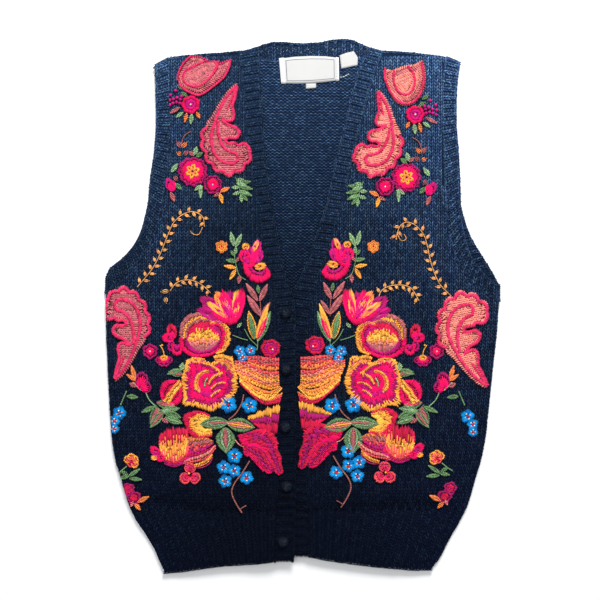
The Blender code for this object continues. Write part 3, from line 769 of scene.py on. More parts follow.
        # lazy daisy, with a straight stitch inside
        base, tip = np.array(base, float), np.array(tip, float)
        bow = width * 0.42
        self.sew(np.stack([base, base]), np.stack([tip, tip]), 1.25, color, color, lift + 0.15,
                 0.25, bow=np.array((bow, -bow)))
        self.sew([base + (tip - base) * 0.15, tip - (tip - base) * 0.05],
                 [tip - (tip - base) * 0.1, tip + (tip - base) * 0.15], np.array((1.3, 1.1)),
                 color, color, lift + 0.2, 0.1)

    def loopAt(self, middle, turn, near, far, width, color):
        way = np.array((math.cos(math.radians(turn)), math.sin(math.radians(turn))))
        self.loop(np.array(middle) + way * near, np.array(middle) + way * far, width, color,
                  lift=0.9)

    def loopsAlong(self, stem, count, length, width, color):
        spots = smoothRun(stem, 2 * count + 2)
        way = np.gradient(spots, axis=0)
        way = way / np.hypot(*way.T)[:, None]
        side = np.stack([-way[:, 1], way[:, 0]], axis=1)
        for k in range(1, 2 * count + 1):
            hand = 1 if k % 2 else -1
            lean = way[k] * 0.62 + side[k] * hand * 0.78
            base = spots[k] + side[k] * hand * 0.5
            self.loop(base, base + lean * length * self.dice.uniform(0.85, 1.1), width, color)

    def knot(self, middle, size, color, lift=0.4):
        middle = np.array(middle, float)
        reach = np.array((size * 0.42, 0))
        self.sew([middle - reach, middle - reach[::-1]], [middle + reach, middle + reach[::-1]],
                 size * 0.62, color, color, lift, 0.35 * size / 3)

    def threads(self):
        # what shows: threads are kept off the sides and left out where others cover them
        rows = np.concatenate(self.rows)
        for k in (0, 2):
            rows[:, k] = np.clip(rows[:, k], panelRight(rows[:, k + 1]) + 1,
                                 panelLeft(rows[:, k + 1]) - 1)
        rows = rows[np.hypot(*(rows[:, 2:4] - rows[:, 0:2]).T) > 0.5]
        t = np.linspace(0.06, 0.94, 9)[None, :, None]
        spots = rows[:, None, 0:2] * (1 - t) + rows[:, None, 2:4] * t
        cells = ((spots + (250, 10)) * 1.6).astype(int)
        cells = np.stack([cells[..., 0].clip(0, 799), cells[..., 1].clip(0, 1049)], axis=-1)
        height = (rows[:, None, 5] + rows[:, None, 6] * (1 - (2 * t[..., 0] - 1) ** 2)
                  + np.arange(len(rows))[:, None] * 1e-5)
        top = np.full((800, 1050), -9.0)
        np.maximum.at(top, (cells[..., 0], cells[..., 1]), height)
        seen = (height > top[cells[..., 0], cells[..., 1]] - 0.16).mean(1)
        return rows[seen > 0.2]


def shoulderTulip(sew):
    # dusty wool here, against salmon in the left front's tulip: painted shade on the wearer's right front
    sew.fill(((-145.8, 576.7), (-145.2, 584.3), (-140.1, 595.7), (-130, 604.6),
              (-121.1, 604.6), (-111.6, 600.8), (-110.9, 598.2), (-99.5, 598.2),
              (-98.3, 595.7), (-90.6, 598.9), (-83.7, 599.5), (-85.6, 590.6),
              (-91.9, 579.2), (-103.3, 569.1), (-113.5, 561.5), (-121.1, 558.3),
              (-130, 560.8), (-137.6, 564.6), (-142.6, 569.1)),
             "rosy 2.2 dusty 4.5 dusty 4", pace=1.9, lift=-0.1)
    sew.fill(((-139.5, 580.5), (-136.3, 586.8), (-127.4, 591.9), (-118.5, 597),
              (-110.9, 598.9), (-99.5, 598.2), (-100.8, 590.6), (-105.9, 581.8),
              (-112.2, 574.2), (-119.8, 569.7), (-128.7, 569.1), (-136.3, 571.6)),
             "rosy 2 dusty 5 dusty 5", pace=1.9, lift=0.3)
    for run in (((-110.9, 599.5), (-118.5, 596.3), (-127.4, 591.9), (-136.3, 587.5),
                 (-139.8, 580.5), (-136.9, 572.9), (-130, 569.1), (-119.8, 569.3),
                 (-112.2, 574.2), (-105.9, 581.1), (-100.2, 590), (-98.3, 597.6)),
                ((-145.8, 576.7), (-144.9, 584.3), (-139.5, 595.1), (-130, 604.6)),
                ((-83.7, 599.5), (-86.2, 590), (-91.9, 579.2), (-103.3, 569.1),
                 (-113.5, 561.5), (-121.1, 558.3), (-130, 560.8), (-138.2, 565.3),
                 (-143.3, 570.4))):
        sew.rope(run, "rosy", 3.5)


def shoulderSpray(sew):
    for base, tip in (((-145.7, 569.8), (-138.6, 565.1)), ((-141, 561.6), (-134, 556.9))):
        sew.leaf(base, tip, 5.8, "sage .6 mint 1")
    for spot in ((-148.1, 563.9), (-154.5, 558.7), (-155.6, 552.7), (-150.7, 553.8), (-146.5, 555.6), (-142.6, 553.5), (-147.1, 550.2), (-155.1, 547.2), (-151.1, 549), (-143.2, 549), (-141.4, 557.2)):
        sew.knot(spot, 5.6, "magenta")
    sew.flower((-130.5, 547.6), 11.7, "pink .45 magenta .8 plum 1", 7)
    sew.knot((-130.5, 547.6), 3.5, "pearl")
    sew.leaf((-143.3, 544), (-156.2, 537), 5.8, "rose .6 salmon 1")
    sew.leaf((-139.8, 538.2), (-148, 532.4), 5.8, "mint .6 sage 1")
    sew.leaf((-135.1, 537), (-137.5, 526.5), 5.8, "orange .6 sage 1")
    sew.leaf((-129.3, 535.9), (-130.5, 524.2), 7, "mint .6 sage 1")
    sew.leaf((-123.4, 538.2), (-119.9, 531.2), 5.8, "orange .6 orange 1")


def scalloped(points, waves, depth):
    # a run with waves on its outer hand
    run = smoothRun(points, waves * 7 + 1)
    way = np.gradient(run, axis=0)
    way = way / np.hypot(*way.T)[:, None]
    swing = np.abs(np.sin(math.pi * waves * np.linspace(0, 1, len(run))))[:, None]
    return run + np.stack([way[:, 1], -way[:, 0]], axis=1) * depth * (swing - 0.35)


def plume(sew, middle, size, turn, hand, cord, fleece):
    # paisley plume: scalloped back, hooked head, two lobes in front, a long tail
    c, s = math.cos(math.radians(turn)), math.sin(math.radians(turn))

    def put(points):
        return (np.array(points) * size * (hand, 1)) @ np.array(((c, s), (-s, c))) + middle

    back = scalloped(((32, 32), (25, 44), (12, 52), (-2, 54), (-15, 47), (-25, 34), (-29, 18),
                      (-29, 2), (-22, -11)), 7, 4.2)
    tail = ((-21, -14), (-10, -25), (3, -40), (17, -53), (30, -58))
    low = ((30, -57), (24, -43), (19, -33), (19, -21), (15, -14), (8, -15), (2, -18))
    lobe = ((2, -17), (9, -9), (18, -4), (22, 4), (16, 10), (8, 8), (1, 9))
    chin = ((1, 10), (4, 15), (13, 16), (17, 20), (26, 19), (31, 25), (32, 31))
    sew.fill(put(np.concatenate([back, tail, low[1:], lobe[1:], chin[1:-1]])),
             "%s 4 %s 4.4" % (fleece, fleece), pace=2.0, slant=26)
    for run, wide in ((back, cord), (low, cord * 0.9), (lobe, cord), (chin, cord)):
        sew.rope(put(np.array(run) * 0.945), "rosy", wide)
    sew.rope(put(((27, -55), (12, -43), (0, -28), (-9, -13), (-16, 2), (-17, 18), (-12, 31),
                  (-3, 38), (7, 40), (13, 35), (11, 28), (4, 25), (-3, 17), (-6, 6), (-6, -5),
                  (-4, -15))), "rosy", cord * 0.95, lift=1.0, slant=-34)
    sew.rope(put(((25, -50), (17, -38), (11, -29))), "rosy", cord * 0.7, lift=1.0)


def shoulderPaisley(sew):
    # dusty wool here, against salmon in the left front's paisley: painted shade on the wearer's right front
    plume(sew, (-92.5, 514.4), (0.9, -0.93), 10, 1, 5.4, "dusty")


def shoulderTwig(sew):
    sew.line(((-130.5, 516), (-137.5, 511.3), (-141, 503.1), (-141, 497.2)), "brown")
    sew.loop((-141, 497.2), (-146.8, 504.3), 4.7, "rose")
    sew.loop((-141, 497.2), (-135.1, 503.1), 4.7, "orange")
    sew.loop((-141, 489.1), (-146.8, 491.4), 4.7, "orange")
    sew.loop((-138.6, 487.9), (-134, 493.7), 4.7, "rose")
    sew.leaf((-126.9, 487.9), (-132.8, 492.6), 5.8, "rose .6 salmon 1")
    sew.leaf((-125.8, 489.1), (-123.4, 498.4), 7, "mint .6 sage 1")
    sew.leaf((-123.4, 486.7), (-116.4, 491.4), 7, "sage .6 mint 1")


def ringFlower(sew):
    sew.flower((-128.1, 469.2), 18.1, "plum .2 pink .8 magenta 1", 11, dip=0.1)
    for turn in range(6):
        sew.petalAt((-128.1, 469.2), turn * 60 + 20, 9.4, 5.2, "gold .6 orange 1", lift=0.9)
    sew.knot((-128.1, 470.3), 3, "night")


def smallRingFlower(sew):
    sew.flower((-104.7, 454), 11.7, "plum .26 pink 1", 8, dip=0.12)
    sew.knot((-104.7, 454), 3, "pearl")


def sideBud(sew):
    sew.petal((-151.5, 446.9), (-159.7, 462.1), 10.5, "magenta .5 pink 1")
    sew.petal((-152.7, 445.8), (-151.5, 459.8), 9.4, "pink .6 magenta 1")
    sew.leaf((-152.7, 469.2), (-145.7, 478.5), 7, "mint .6 rose 1")
    sew.leaf((-148, 455.1), (-141, 448.1), 7, "sage .6 rose 1")
    sew.leaf((-153.9, 444.6), (-149.2, 434.1), 7, "rose .6 mint 1")
    sew.loop((-150.3, 464.5), (-145.7, 458.6), 4.7, "rose")


def shoulderLeaves(sew):
    for tip in ((-125.8, 446.9), (-117.6, 448.1), (-118.8, 437.6)):
        sew.leaf((-118.8, 452.8), tip, 5.8, "mint .6 sage 1")
    sew.leaf((-95.4, 445.8), (-84.8, 450.4), 6.4, "orange .6 gold 1")
    sew.leaf((-96.5, 443.4), (-93, 431.7), 6.4, "gold .6 orange 1")
    sew.leaf((-95.4, 444.6), (-103.5, 439.9), 5.3, "rose .6 orange 1")
    sew.line(((-77.8, 462.1), (-73.1, 448.1), (-72, 438.8)), "sage")
    for base, tip in (((-73.5, 455), (-60, 457.5)), ((-72.8, 451), (-57.5, 448.5)),
                      ((-72.5, 447), (-58.5, 440.5)), ((-72, 442.5), (-64, 435))):
        sew.leaf(base, tip, 6.4, "sage .5 mint 1")
    for base, tip in (((-76.6, 458.6), (-68.4, 459.8)), ((-76.6, 455.1), (-64.9, 452.8)), ((-74.3, 450.4), (-82.5, 450.4)), ((-73.1, 445.8), (-62.6, 443.4)),
                      ((-73.1, 444.6), (-81.3, 442.3)), ((-72, 441.1), (-70.8, 432.9))):
        sew.leaf(base, tip, 5.8, "mint .6 sage 1")


def upperVine(sew):
    stem = ((-192.5, 334.6), (-178.4, 351), (-170.2, 363.9), (-163.2, 379.1), (-157.4, 394.3), (-150.3, 409.5), (-139.8, 418.9), (-128.1, 422.4), (-116.4, 416.5), (-114.1, 404.8))
    sew.line(stem, "vine", width=1.1)
    sew.loopsAlong(stem, 13, 6.6, 2.8, "vine")
    sew.line(((-116.4, 403.6), (-121.1, 395.5), (-128.1, 396.6), (-130.5, 400.1)), "vine", width=1.0)


def lowerVine(sew):
    stem = ((-153.9, 329.9), (-149.2, 337), (-142.2, 341.6), (-132.8, 342.8), (-123.4, 340.5), (-114.1, 334.6), (-107.1, 327.6))
    sew.line(stem, "vine", width=1.1)
    sew.loopsAlong(stem, 6, 6.4, 2.8, "vine")
    sew.loop((-155, 329.9), (-164.4, 328.8), 4.7, "vine")
    sew.loop((-159.7, 322.9), (-158.5, 315.9), 4.7, "vine")


def orangeFlower(sew):
    sew.flower((-94.2, 381.4), 8, "orange .35 gold .6 orange 1", 6, dip=0.25)
    sew.knot((-94.2, 382.6), 3.5, "crimson")


def greenSprig(sew):
    sew.line(((-79, 377.9), (-79, 368.5), (-76.6, 356.8), (-73.1, 347.5), (-66.1, 342.8)), "sage")
    sew.leaf((-80.1, 382.6), (-83.7, 399), 7, "mint .6 sage 1")
    sew.leaf((-77.8, 381.4), (-70.8, 396.6), 7, "mint .6 sage 1")
    sew.leaf((-79, 370.9), (-83.7, 376.7), 5.3, "sage .6 mint 1")
    sew.leaf((-77.8, 373.2), (-77.8, 381.4), 5.3, "mint .6 sage 1")
    sew.leaf((-76.6, 363.9), (-89.5, 366.2), 6.4, "sage .6 mint 1")
    sew.leaf((-77.8, 356.8), (-91.8, 359.2), 5.8, "gold .6 orange 1")
    sew.leaf((-77.8, 354.5), (-84.8, 342.8), 6.4, "gold .5 mint 1")
    sew.leaf((-76.6, 363.9), (-74.3, 369.7), 4.7, "rose .6 salmon 1")
    sew.leaf((-73.1, 347.5), (-74.3, 338.1), 6.4, "rose .6 brown 1")


def tallPoppy(sew):
    sew.petal((-64.9, 362.7), (-69.6, 379.1), 14, "pink .5 magenta 1")
    sew.petal((-62.6, 362.7), (-61.4, 382.6), 12.9, "magenta .5 pink 1")
    sew.petal((-57.9, 360.4), (-50.9, 389.6), 11.7, "magenta .3 pink 1", lift=0.3)
    sew.petal((-54.4, 361.5), (-47.4, 377.9), 10.5, "magenta .5 plum 1", lift=0.2)
    sew.petal((-66.1, 377.9), (-66.1, 386.1), 9.4, "gold .6 orange 1", lift=0.5)
    sew.petal((-57.9, 375.6), (-50.9, 389.6), 5.8, "gold .6 orange 1", lift=0.6)
    sew.patch(((-70.8, 361.5), (-67.3, 348.7), (-56.7, 339.3), (-45, 339.3), (-35.7, 347.5), (-40.4, 356.8)),
              ((-61.4, 363.9), (-59.1, 356.8), (-54.4, 352.2), (-48.6, 351), (-45, 354.5), (-47.4, 359.2)), "pink .7 magenta 1", lift=0.6)
    sew.petal((-68.4, 363.9), (-53.2, 363.9), 15.2, "pink .6 magenta 1", lift=0.5)
    sew.petal((-55.6, 356.8), (-41.5, 360.4), 8.2, "gold .6 orange 1", lift=1.0)
    sew.knot((-49.7, 353.3), 3.5, "rose")


def brownSprig(sew):
    for base, tip, wide in (((-52.1, 318.4), (-65.9, 339.1), 7.5),
                            ((-49.7, 318.4), (-40.5, 338), 7.5),
                            ((-48.6, 301), (-64.8, 325.1), 9.0),
                            ((-47.6, 301), (-37.5, 317), 6.5)):
        sew.leaf(base, tip, wide, "rose .6 salmon 1")
    sew.leaf((-50.9, 327.6), (-52.1, 337), 5.8, "sage .6 mint 1")
    sew.line(((-49.7, 321.8), (-48.6, 310), (-48.6, 298.3)), "brown")


def lilyBud(sew):
    sew.leaf((-55.6, 273.8), (-62.6, 306.5), 10.5, "gold .35 sage 1")
    sew.leaf((-52.1, 271.4), (-36.9, 306.5), 10.5, "sage .4 mint 1")
    sew.leaf((-53.2, 274.9), (-39.2, 315.9), 8.2, "gold .6 orange 1", lift=0.4)
    sew.leaf((-52.1, 274.9), (-41.5, 299.5), 7, "pink .6 crimson 1", lift=0.8)
    sew.line(((-52.1, 273.8), (-52.1, 265.6), (-53.2, 260.9)), "sage")
    sew.line(((-67.3, 285.5), (-61.4, 274.9), (-52.1, 265.6)), "sage")
    sew.line(((-81.3, 278.5), (-72, 274.9), (-63.8, 272.6)), "sage")
    sew.leaf((-75.5, 287.8), (-70.8, 292.5), 5.3, "mint .6 sage 1")


def widePoppy(sew):
    sew.petal((-83.7, 293.7), (-123.4, 308.9), 12.9, "magenta .4 plum .7 magenta 1")
    sew.petal((-84.8, 294.8), (-118.8, 322.9), 17.5, "plum .25 magenta .7 pink 1", lift=0.1)
    sew.petal((-86, 298.3), (-112.9, 318.2), 8.2, "gold .6 orange 1", lift=0.5)
    sew.petal((-83.7, 298.3), (-101.2, 329.9), 14, "orange .25 gold .7 orange 1", lift=0.3)
    sew.petal((-82.5, 297.2), (-94.2, 331.1), 15.2, "pink .5 magenta 1", lift=0.5)
    sew.petal((-81.3, 298.3), (-84.8, 329.9), 18.7, "plum .35 magenta .7 pink 1", lift=0.6)
    sew.petal((-79, 298.3), (-75.5, 332.3), 9.4, "gold .6 orange 1", lift=0.7)
    sew.petal((-79, 296), (-69.6, 333.4), 14, "pink .7 pink 1", lift=0.9)
    sew.patch(((-109.4, 305.4), (-100, 296), (-84.8, 289), (-73.1, 296), (-66.1, 314.7)),
              ((-96.5, 308.9), (-89.5, 306.5), (-82.5, 305.4), (-76.6, 308.9), (-74.3, 315.9)), "pink .6 magenta 1", lift=1.1)


def pansy(sew):
    sew.patch(((-143.4, 274.9), (-143.8, 286.1), (-139.6, 296.5), (-132.2, 302.8),
               (-121.7, 305.5), (-111.3, 303.3), (-104.6, 297.3)),
              ((-131.9, 275.7), (-130.7, 282.4), (-126.2, 287.6), (-118.7, 290.9),
               (-111.3, 291.8), (-105.3, 290.9), (-102.3, 288.8)),
              "rose .34 gold .56 rose .76 crimson 1", lift=0.2, under=0.35)
    sew.patch(((-106, 294.3), (-97.1, 296.8), (-88.6, 292.8), (-83.7, 283.1), (-83.8, 271.2),
               (-88.6, 261), (-97.8, 256.3)),
              ((-107.5, 288.3), (-100.8, 287.3), (-97.1, 281.6), (-96.6, 275.7), (-97.8, 269.7),
               (-100.8, 265.2), (-105.3, 260.7)),
              "gold .34 orange .48 pink .78 magenta 1", lift=0.3, under=0.4)
    sew.patch(((-144.4, 274.9), (-142.6, 263.7), (-134.4, 255.5), (-121.7, 252.2), (-109.8, 253),
               (-101.6, 256.6)),
              ((-132.9, 274.9), (-132.9, 267.4), (-126.9, 261.5), (-118.7, 259.2),
               (-109.8, 260.4), (-102, 264.9)),
              "pink .6 magenta 1", lift=0.25, under=0.4)
    sew.patch(((-134, 273.9), (-129.9, 282.4), (-118.7, 288.8), (-106.8, 287.9), (-98.6, 281.6),
               (-96.6, 274.2)),
              ((-132.9, 271.5), (-128, 264.9), (-118.7, 261), (-109.8, 261.9), (-102, 266.4),
               (-96.9, 272.4)),
              "pink .1 gold .3 yellow .5 orange .6 salmon .75 rose 1", ragged=0.12, lift=0.8)
    sew.patch(((-103.1, 254.8), (-94.9, 257.4), (-87.4, 254.8), (-80.7, 251)), ((-100.8, 248.8),
                                                                                (-94.9, 248),
                                                                                (-88.9, 247.3),
                                                                                (-82.9, 244.3)),
              "gold .6 orange 1", lift=0.7)


def pinkTwins(sew):
    sew.petal((-149.2, 274.9), (-164.4, 276.1), 11.7, "pink .6 magenta 1")
    sew.petal((-150.3, 273.8), (-153.9, 292.5), 11.7, "crimson .5 pink 1")
    sew.petal((-149.2, 265.6), (-157.4, 266.8), 14, "magenta .5 pink 1")
    sew.petal((-145.7, 267.9), (-145.7, 253.9), 12.9, "pink .5 magenta 1", lift=0.2)
    sew.flower((-177.3, 259.7), 9.9, "plum .4 pink 1", 6, dip=0.2)
    sew.knot((-177.3, 259.7), 3.5, "pearl")
    sew.line(((-165.6, 266.8), (-162, 260.9), (-160.9, 255.1)), "gold")
    sew.knot((-163.2, 266.8), 3.5, "gold")
    for turn in (-62, -20, 20, 62):
        sew.petalAt((-160.9, 252.7), turn - 90, 11.7, 8.2, "plum .3 pink 1")
    sew.petal((-160.9, 249.2), (-160.9, 256.2), 9.4, "gold .6 gold 1", lift=0.5)


def largePaisley(sew):
    # dusty wool here, against salmon in the left front's paisley: painted shade on the wearer's right front
    plume(sew, (-202.5, 283), (0.88, 0.95), 9, -1, 6.0, "dusty")


def bigRose(sew):
    sew.patch(((-133.7, 250), (-138.4, 238.3), (-141.1, 224.9), (-139.3, 211.5), (-139.3, 196.9),
               (-127.7, 195.8), (-117.2, 191.8), (-105.3, 188.8), (-94.9, 193.3), (-82.9, 203.3),
               (-75.5, 214.2), (-74.4, 227.9), (-78.7, 239.8), (-84.7, 247.3), (-94.9, 250),
               (-106.8, 247.3), (-118.7, 251.5)),
              ((-115.7, 229.4), (-116.9, 227.2), (-117.5, 224.9), (-116.9, 222.7), (-116, 220.4),
               (-114.6, 219.2), (-112.8, 218.3), (-110.5, 218), (-108.6, 218.6), (-106.8, 219.8),
               (-105.6, 221.9), (-105.3, 224.9), (-105.9, 227.6), (-107.4, 229.4),
               (-109.5, 230.6), (-111.9, 231.2), (-114, 230.6)),
              "gold .22 plum .36 pink .6 magenta .74 pink 1", pace=1.9, closed=True)
    sew.patch(((-94.9, 250.3), (-88.9, 254.8), (-81.4, 253.3), (-79.2, 244.3), (-75.5, 232.4)),
               ((-94.9, 245.8), (-90.4, 245.8), (-87.1, 243.6), (-85.6, 238.3), (-84.4, 230.9)),
              "gold .4 plum .7 crimson 1", lift=0.4)
    sew.patch(((-141.1, 229.4), (-136.6, 241.3), (-133.7, 250.3), (-124.7, 253.3),
               (-114.3, 251.5)), ((-132.2, 227.9), (-129.9, 236.9), (-126.2, 243.6),
                                  (-120.2, 245.8), (-114.3, 245.8)),
              "gold .38 plum .6 pink 1", lift=0.4)
    sew.patch(((-119.9, 210.7), (-125.9, 216), (-126.2, 224.9), (-122.9, 233.1), (-114.3, 238.3),
               (-109.5, 238.3)), ((-118.7, 216), (-121, 219.7), (-121.1, 224.9), (-119, 230.1),
                                  (-114.3, 233.9), (-109.5, 234.6)),
              "gold .75 orange 1", lift=0.8)
    sew.patch(((-116.9, 247.3), (-108.3, 245.8), (-99.3, 241.3), (-94.6, 236.1), (-94.9, 231.6)),
               ((-116.9, 243.6), (-109.8, 241), (-103.1, 236.9), (-99.3, 232.4), (-99, 229.4)),
              "gold .6 plum 1", lift=0.9)
    sew.patch(((-109.5, 223.4), (-106.8, 229.4), (-100.8, 234.2), (-94.1, 236.6)),
               ((-106.8, 220.1), (-103.1, 225.7), (-97.8, 229.7), (-92.6, 231.6)),
              "gold .7 plum 1", lift=0.9)
    sew.patch(((-106, 218.2), (-100.8, 222.7), (-94.9, 224.9), (-90.1, 224.6)), ((-105, 214.5),
                                                                                 (-99.6, 218.6),
                                                                                 (-94.1, 220.7),
                                                                                 (-90.1, 220.7)),
              "gold .65 plum 1", lift=0.8)
    sew.patch(((-106.5, 209.2), (-102.3, 213.3), (-96.3, 216)), ((-104.6, 205.2),
                                                                 (-100.5, 209.2),
                                                                 (-95.5, 212.2)), "gold .7 plum 1", lift=0.8)
    sew.blossom((-111.4, 224.6), 7.5, 8.5, "crimson 1", 5, dip=0.05, lift=-0.3)
    sew.line(((-110.5, 228.6), (-113.1, 224.2), (-113.4, 218.9)), "mint", lift=1.1, width=2.4)


def roseBud(sew):
    sew.patch(((-141.4, 225.7), (-151.6, 227.2), (-160.5, 225.7), (-165.6, 218.9),
               (-165.9, 208.5), (-161.7, 199.8)), ((-142.6, 223.4), (-146.8, 220.1),
                                                   (-150.8, 216), (-154.5, 210), (-157.5, 204),
                                                   (-160.2, 199.2)),
              "pink .6 crimson 1", lift=0.2)
    sew.patch(((-141.1, 224.9), (-138.7, 213), (-139.9, 201), (-147.8, 195.4), (-159.8, 197.8)),
               ((-142.9, 222.7), (-146.3, 216.7), (-150.1, 210.7), (-153.8, 205.5), (-159, 198.8)),
              "pink .6 pink 1", lift=0.2)
    sew.patch(((-143.8, 227.2), (-148.9, 221.6), (-153.8, 215.7), (-157.8, 209.7),
               (-162.3, 203.3)), ((-140.8, 219.2), (-144.4, 214.2), (-148.9, 208.8),
                                  (-151.6, 204), (-154.5, 198.4)),
              "gold .5 yellow 1", ragged=0.15, lift=0.7)
    sew.leaf((-141.1, 238.3), (-157.5, 233.1), 8.2, "sage .5 rose 1")
    sew.leaf((-140.4, 238.3), (-139.3, 246.6), 8.2, "mint .6 sage 1")
    sew.leaf((-139.3, 233.1), (-156, 236.1), 9.4, "sage .4 rose 1")


def blueTrio(sew):
    sew.forget((-73.1, 259.7), 7.7)
    sew.forget((-60.3, 260.9), 7.4)
    sew.forget((-69.6, 252.7), 6.8)


def crimsonCup(sew):
    sew.blossom((-36.9, 263.2), 12.3, 11.7, "crimson .4 magenta .7 crimson 1", 7, dip=0.12)
    sew.knot((-34.5, 262.1), 3.3, "pearl")


def wideFan(sew):
    sew.patch(((-71, 219.2), (-59, 207.8), (-47.1, 198.4), (-36.7, 197.8), (-27.4, 198.8)),
               ((-72.2, 226.4), (-59, 214.2), (-47.1, 206.3), (-36.7, 204.8), (-24, 211.5)),
              "crimson .5 coral .8 orange 1", lift=0.1)
    sew.patch(((-72.5, 223.4), (-60.5, 211.5), (-48.6, 204), (-36.7, 202.5), (-23.5, 216)),
               ((-73.2, 232.4), (-60.5, 222.2), (-48.6, 216), (-36.7, 213.7), (-26.8, 219.2)),
              "yellow .38 gold .68 orange 1", ragged=0.14, lift=0.2)
    sew.patch(((-74.3, 231.6), (-62, 223.4), (-48.6, 217.2), (-36.7, 215.2), (-27.4, 217.8)),
               ((-78.1, 242.5), (-63.5, 236.6), (-48.6, 228.6), (-36.7, 226.4), (-27.7, 226.7)),
              "gold .3 orange .55 salmon .8 coral 1", ragged=0.16, lift=0.35)
    sew.patch(((-78.1, 239.8), (-63.5, 233.6), (-48.6, 225.7), (-36.7, 223.4), (-27.7, 224.2)),
               ((-78.1, 248.8), (-63.5, 247.3), (-47.1, 238), (-36.7, 236.1), (-28, 236.6)),
              "gold .3 orange .5 salmon .72 coral 1", ragged=0.14, lift=0.45)
    sew.patch(((-62, 245.8), (-51.6, 239.8), (-39.6, 236.6), (-28, 237.6)), ((-64.3, 254),
                                                                             (-51.6, 253.6),
                                                                             (-39.6, 252.1),
                                                                             (-27.7, 251.5)),
              "orange .34 coral .62 rose .82 coral 1", ragged=0.14, lift=0.6)


def lowFan(sew):
    sew.patch(((-64.9, 183.7), (-53.2, 189.5), (-40.4, 195.4), (-26.3, 198.9)), ((-54.4, 174.3), (-47.4, 169.6), (-38, 166.1), (-29.8, 166.1)),
              "gold .3 plum .62 crimson 1", scallops=4, dip=0.05)


def lowBloom(sew):
    sew.patch(((-57.7, 166.9), (-51.9, 169.8), (-43.7, 170.9), (-35.5, 167.6), (-29.9, 162),
               (-28.3, 155.4), (-28, 148)),
              ((-73.3, 162), (-70, 155.8), (-65, 152), (-58.5, 150.3), (-51.9, 148.7),
               (-47, 146), (-43.7, 143.9)),
              "crimson .3 plum .6 crimson .8 pink 1", ragged=0.14, lift=0.3, under=0.15)
    sew.patch(((-69.2, 146.4), (-68.2, 139.7), (-61.8, 136.4), (-55.2, 129.8), (-48.6, 123),
               (-41.2, 118.3), (-36.2, 119.3)),
              ((-62.6, 150.7), (-55.2, 148), (-48.6, 144.6), (-44.5, 138.2), (-40.4, 131.6),
               (-37.1, 125.9), (-35.7, 121)),
              "pink .3 crimson .5 plum .75 crimson 1", ragged=0.14, lift=0.5, under=0.25)
    sew.patch(((-28.1, 147.6), (-23.9, 138.2), (-23.4, 128.3), (-22, 120), (-26.3, 117.1)),
              ((-44.9, 144.3), (-41.2, 137.4), (-37.1, 130.8), (-33.9, 125.1), (-31.2, 120)),
              "crimson .3 plum .6 crimson 1", ragged=0.14, lift=0.6)
    sew.line(((-58.5, 150.3), (-51.9, 148.4), (-45.4, 144.8), (-40.4, 137.4), (-35.5, 127.5),
              (-33.9, 121)), "plum", lift=1.1, width=1.3)
    sew.line(((-81.1, 160.8), (-76.5, 154.6), (-72.4, 150.5), (-67.5, 148.7)), "salmon", width=1.5)


def trioLeaves(sew):
    sew.leaf((-86.5, 177.2),
             (-119.6, 175.5), 15.5, "sage .5 mint .75 rose 1", lift=0.5, rib="rose")
    sew.leaf((-87.2, 176.3), (-54.8, 171.4), 17.5, "sage .5 salmon .8 gold 1", lift=0.5, rib="gold")
    sew.leaf((-89.7, 171), (-88.8, 141.1), 23.5, "sage .42 mint .68 rose 1", lift=0.4, rib="rose")
    sew.line(((-68.4, 209.4), (-70.8, 198.9), (-77.8, 187.2), (-86, 180.2)), "brown", width=2.0)


def blueDuo(sew):
    sew.forget((-86, 197.7), 11.1)
    sew.forget((-61.4, 196.6), 10.5)


def redFlower(sew):
    sew.patch(((-108, 186.2), (-117.5, 190.4), (-125.9, 190.6), (-134.3, 188.6), (-140, 182.6),
               (-136.9, 174.2), (-133.1, 165), (-125.9, 159.1), (-116.3, 158.5), (-105.8, 159.9)),
              ((-108.6, 181.8), (-115.1, 182), (-119.3, 179.8), (-121.1, 177.5), (-121.7, 174.8),
               (-120.9, 171.5), (-118.7, 168.6), (-115.7, 167.1), (-110.4, 167.1), (-105.6, 167.7)),
              "crimson .4 orange .48 gold .8 yellow 1", ragged=0.14, lift=0.2, under=0.45)


def lowTulip(sew):
    sew.patch(((-170.7, 140.8), (-165.3, 134), (-155.7, 128), (-145, 126.6), (-135.4, 131.3),
               (-128.9, 136.9)), ((-164.7, 143.8), (-159.3, 137.6), (-151, 133.6),
                                  (-142.6, 135.4), (-136.4, 141.4), (-133.1, 148)),
              "plum .3 crimson .6 coral 1", lift=0.2)
    sew.patch(((-166.7, 156.3), (-164.9, 164.7), (-158.1, 169.5), (-149.8, 170.7),
               (-141.4, 172.2), (-134.5, 170.7), (-132.7, 162.3)), ((-165.3, 145),
                                                                    (-160.5, 138.8),
                                                                    (-154.5, 135.2),
                                                                    (-148, 133.4),
                                                                    (-142.6, 135.8),
                                                                    (-137.2, 141.2),
                                                                    (-134.3, 148.6)),
              "crimson .4 orange .5 gold .75 yellow .85 coral 1", ragged=0.2, lift=0.5)
    sew.petal((-165.3, 139.6), (-177.5, 148.8), 9.4, "pink .6 magenta 1")
    sew.petal((-165.3, 137.8), (-176, 142.8), 6.4, "plum .6 magenta 1", lift=0.2)
    sew.petal((-168.3, 136), (-177, 136.4), 6.5, "gold .7 orange 1", lift=0.2)
    sew.petal((-160.5, 137.8), (-170.1, 133.3), 9, "pink .6 pink 1", lift=0.4)


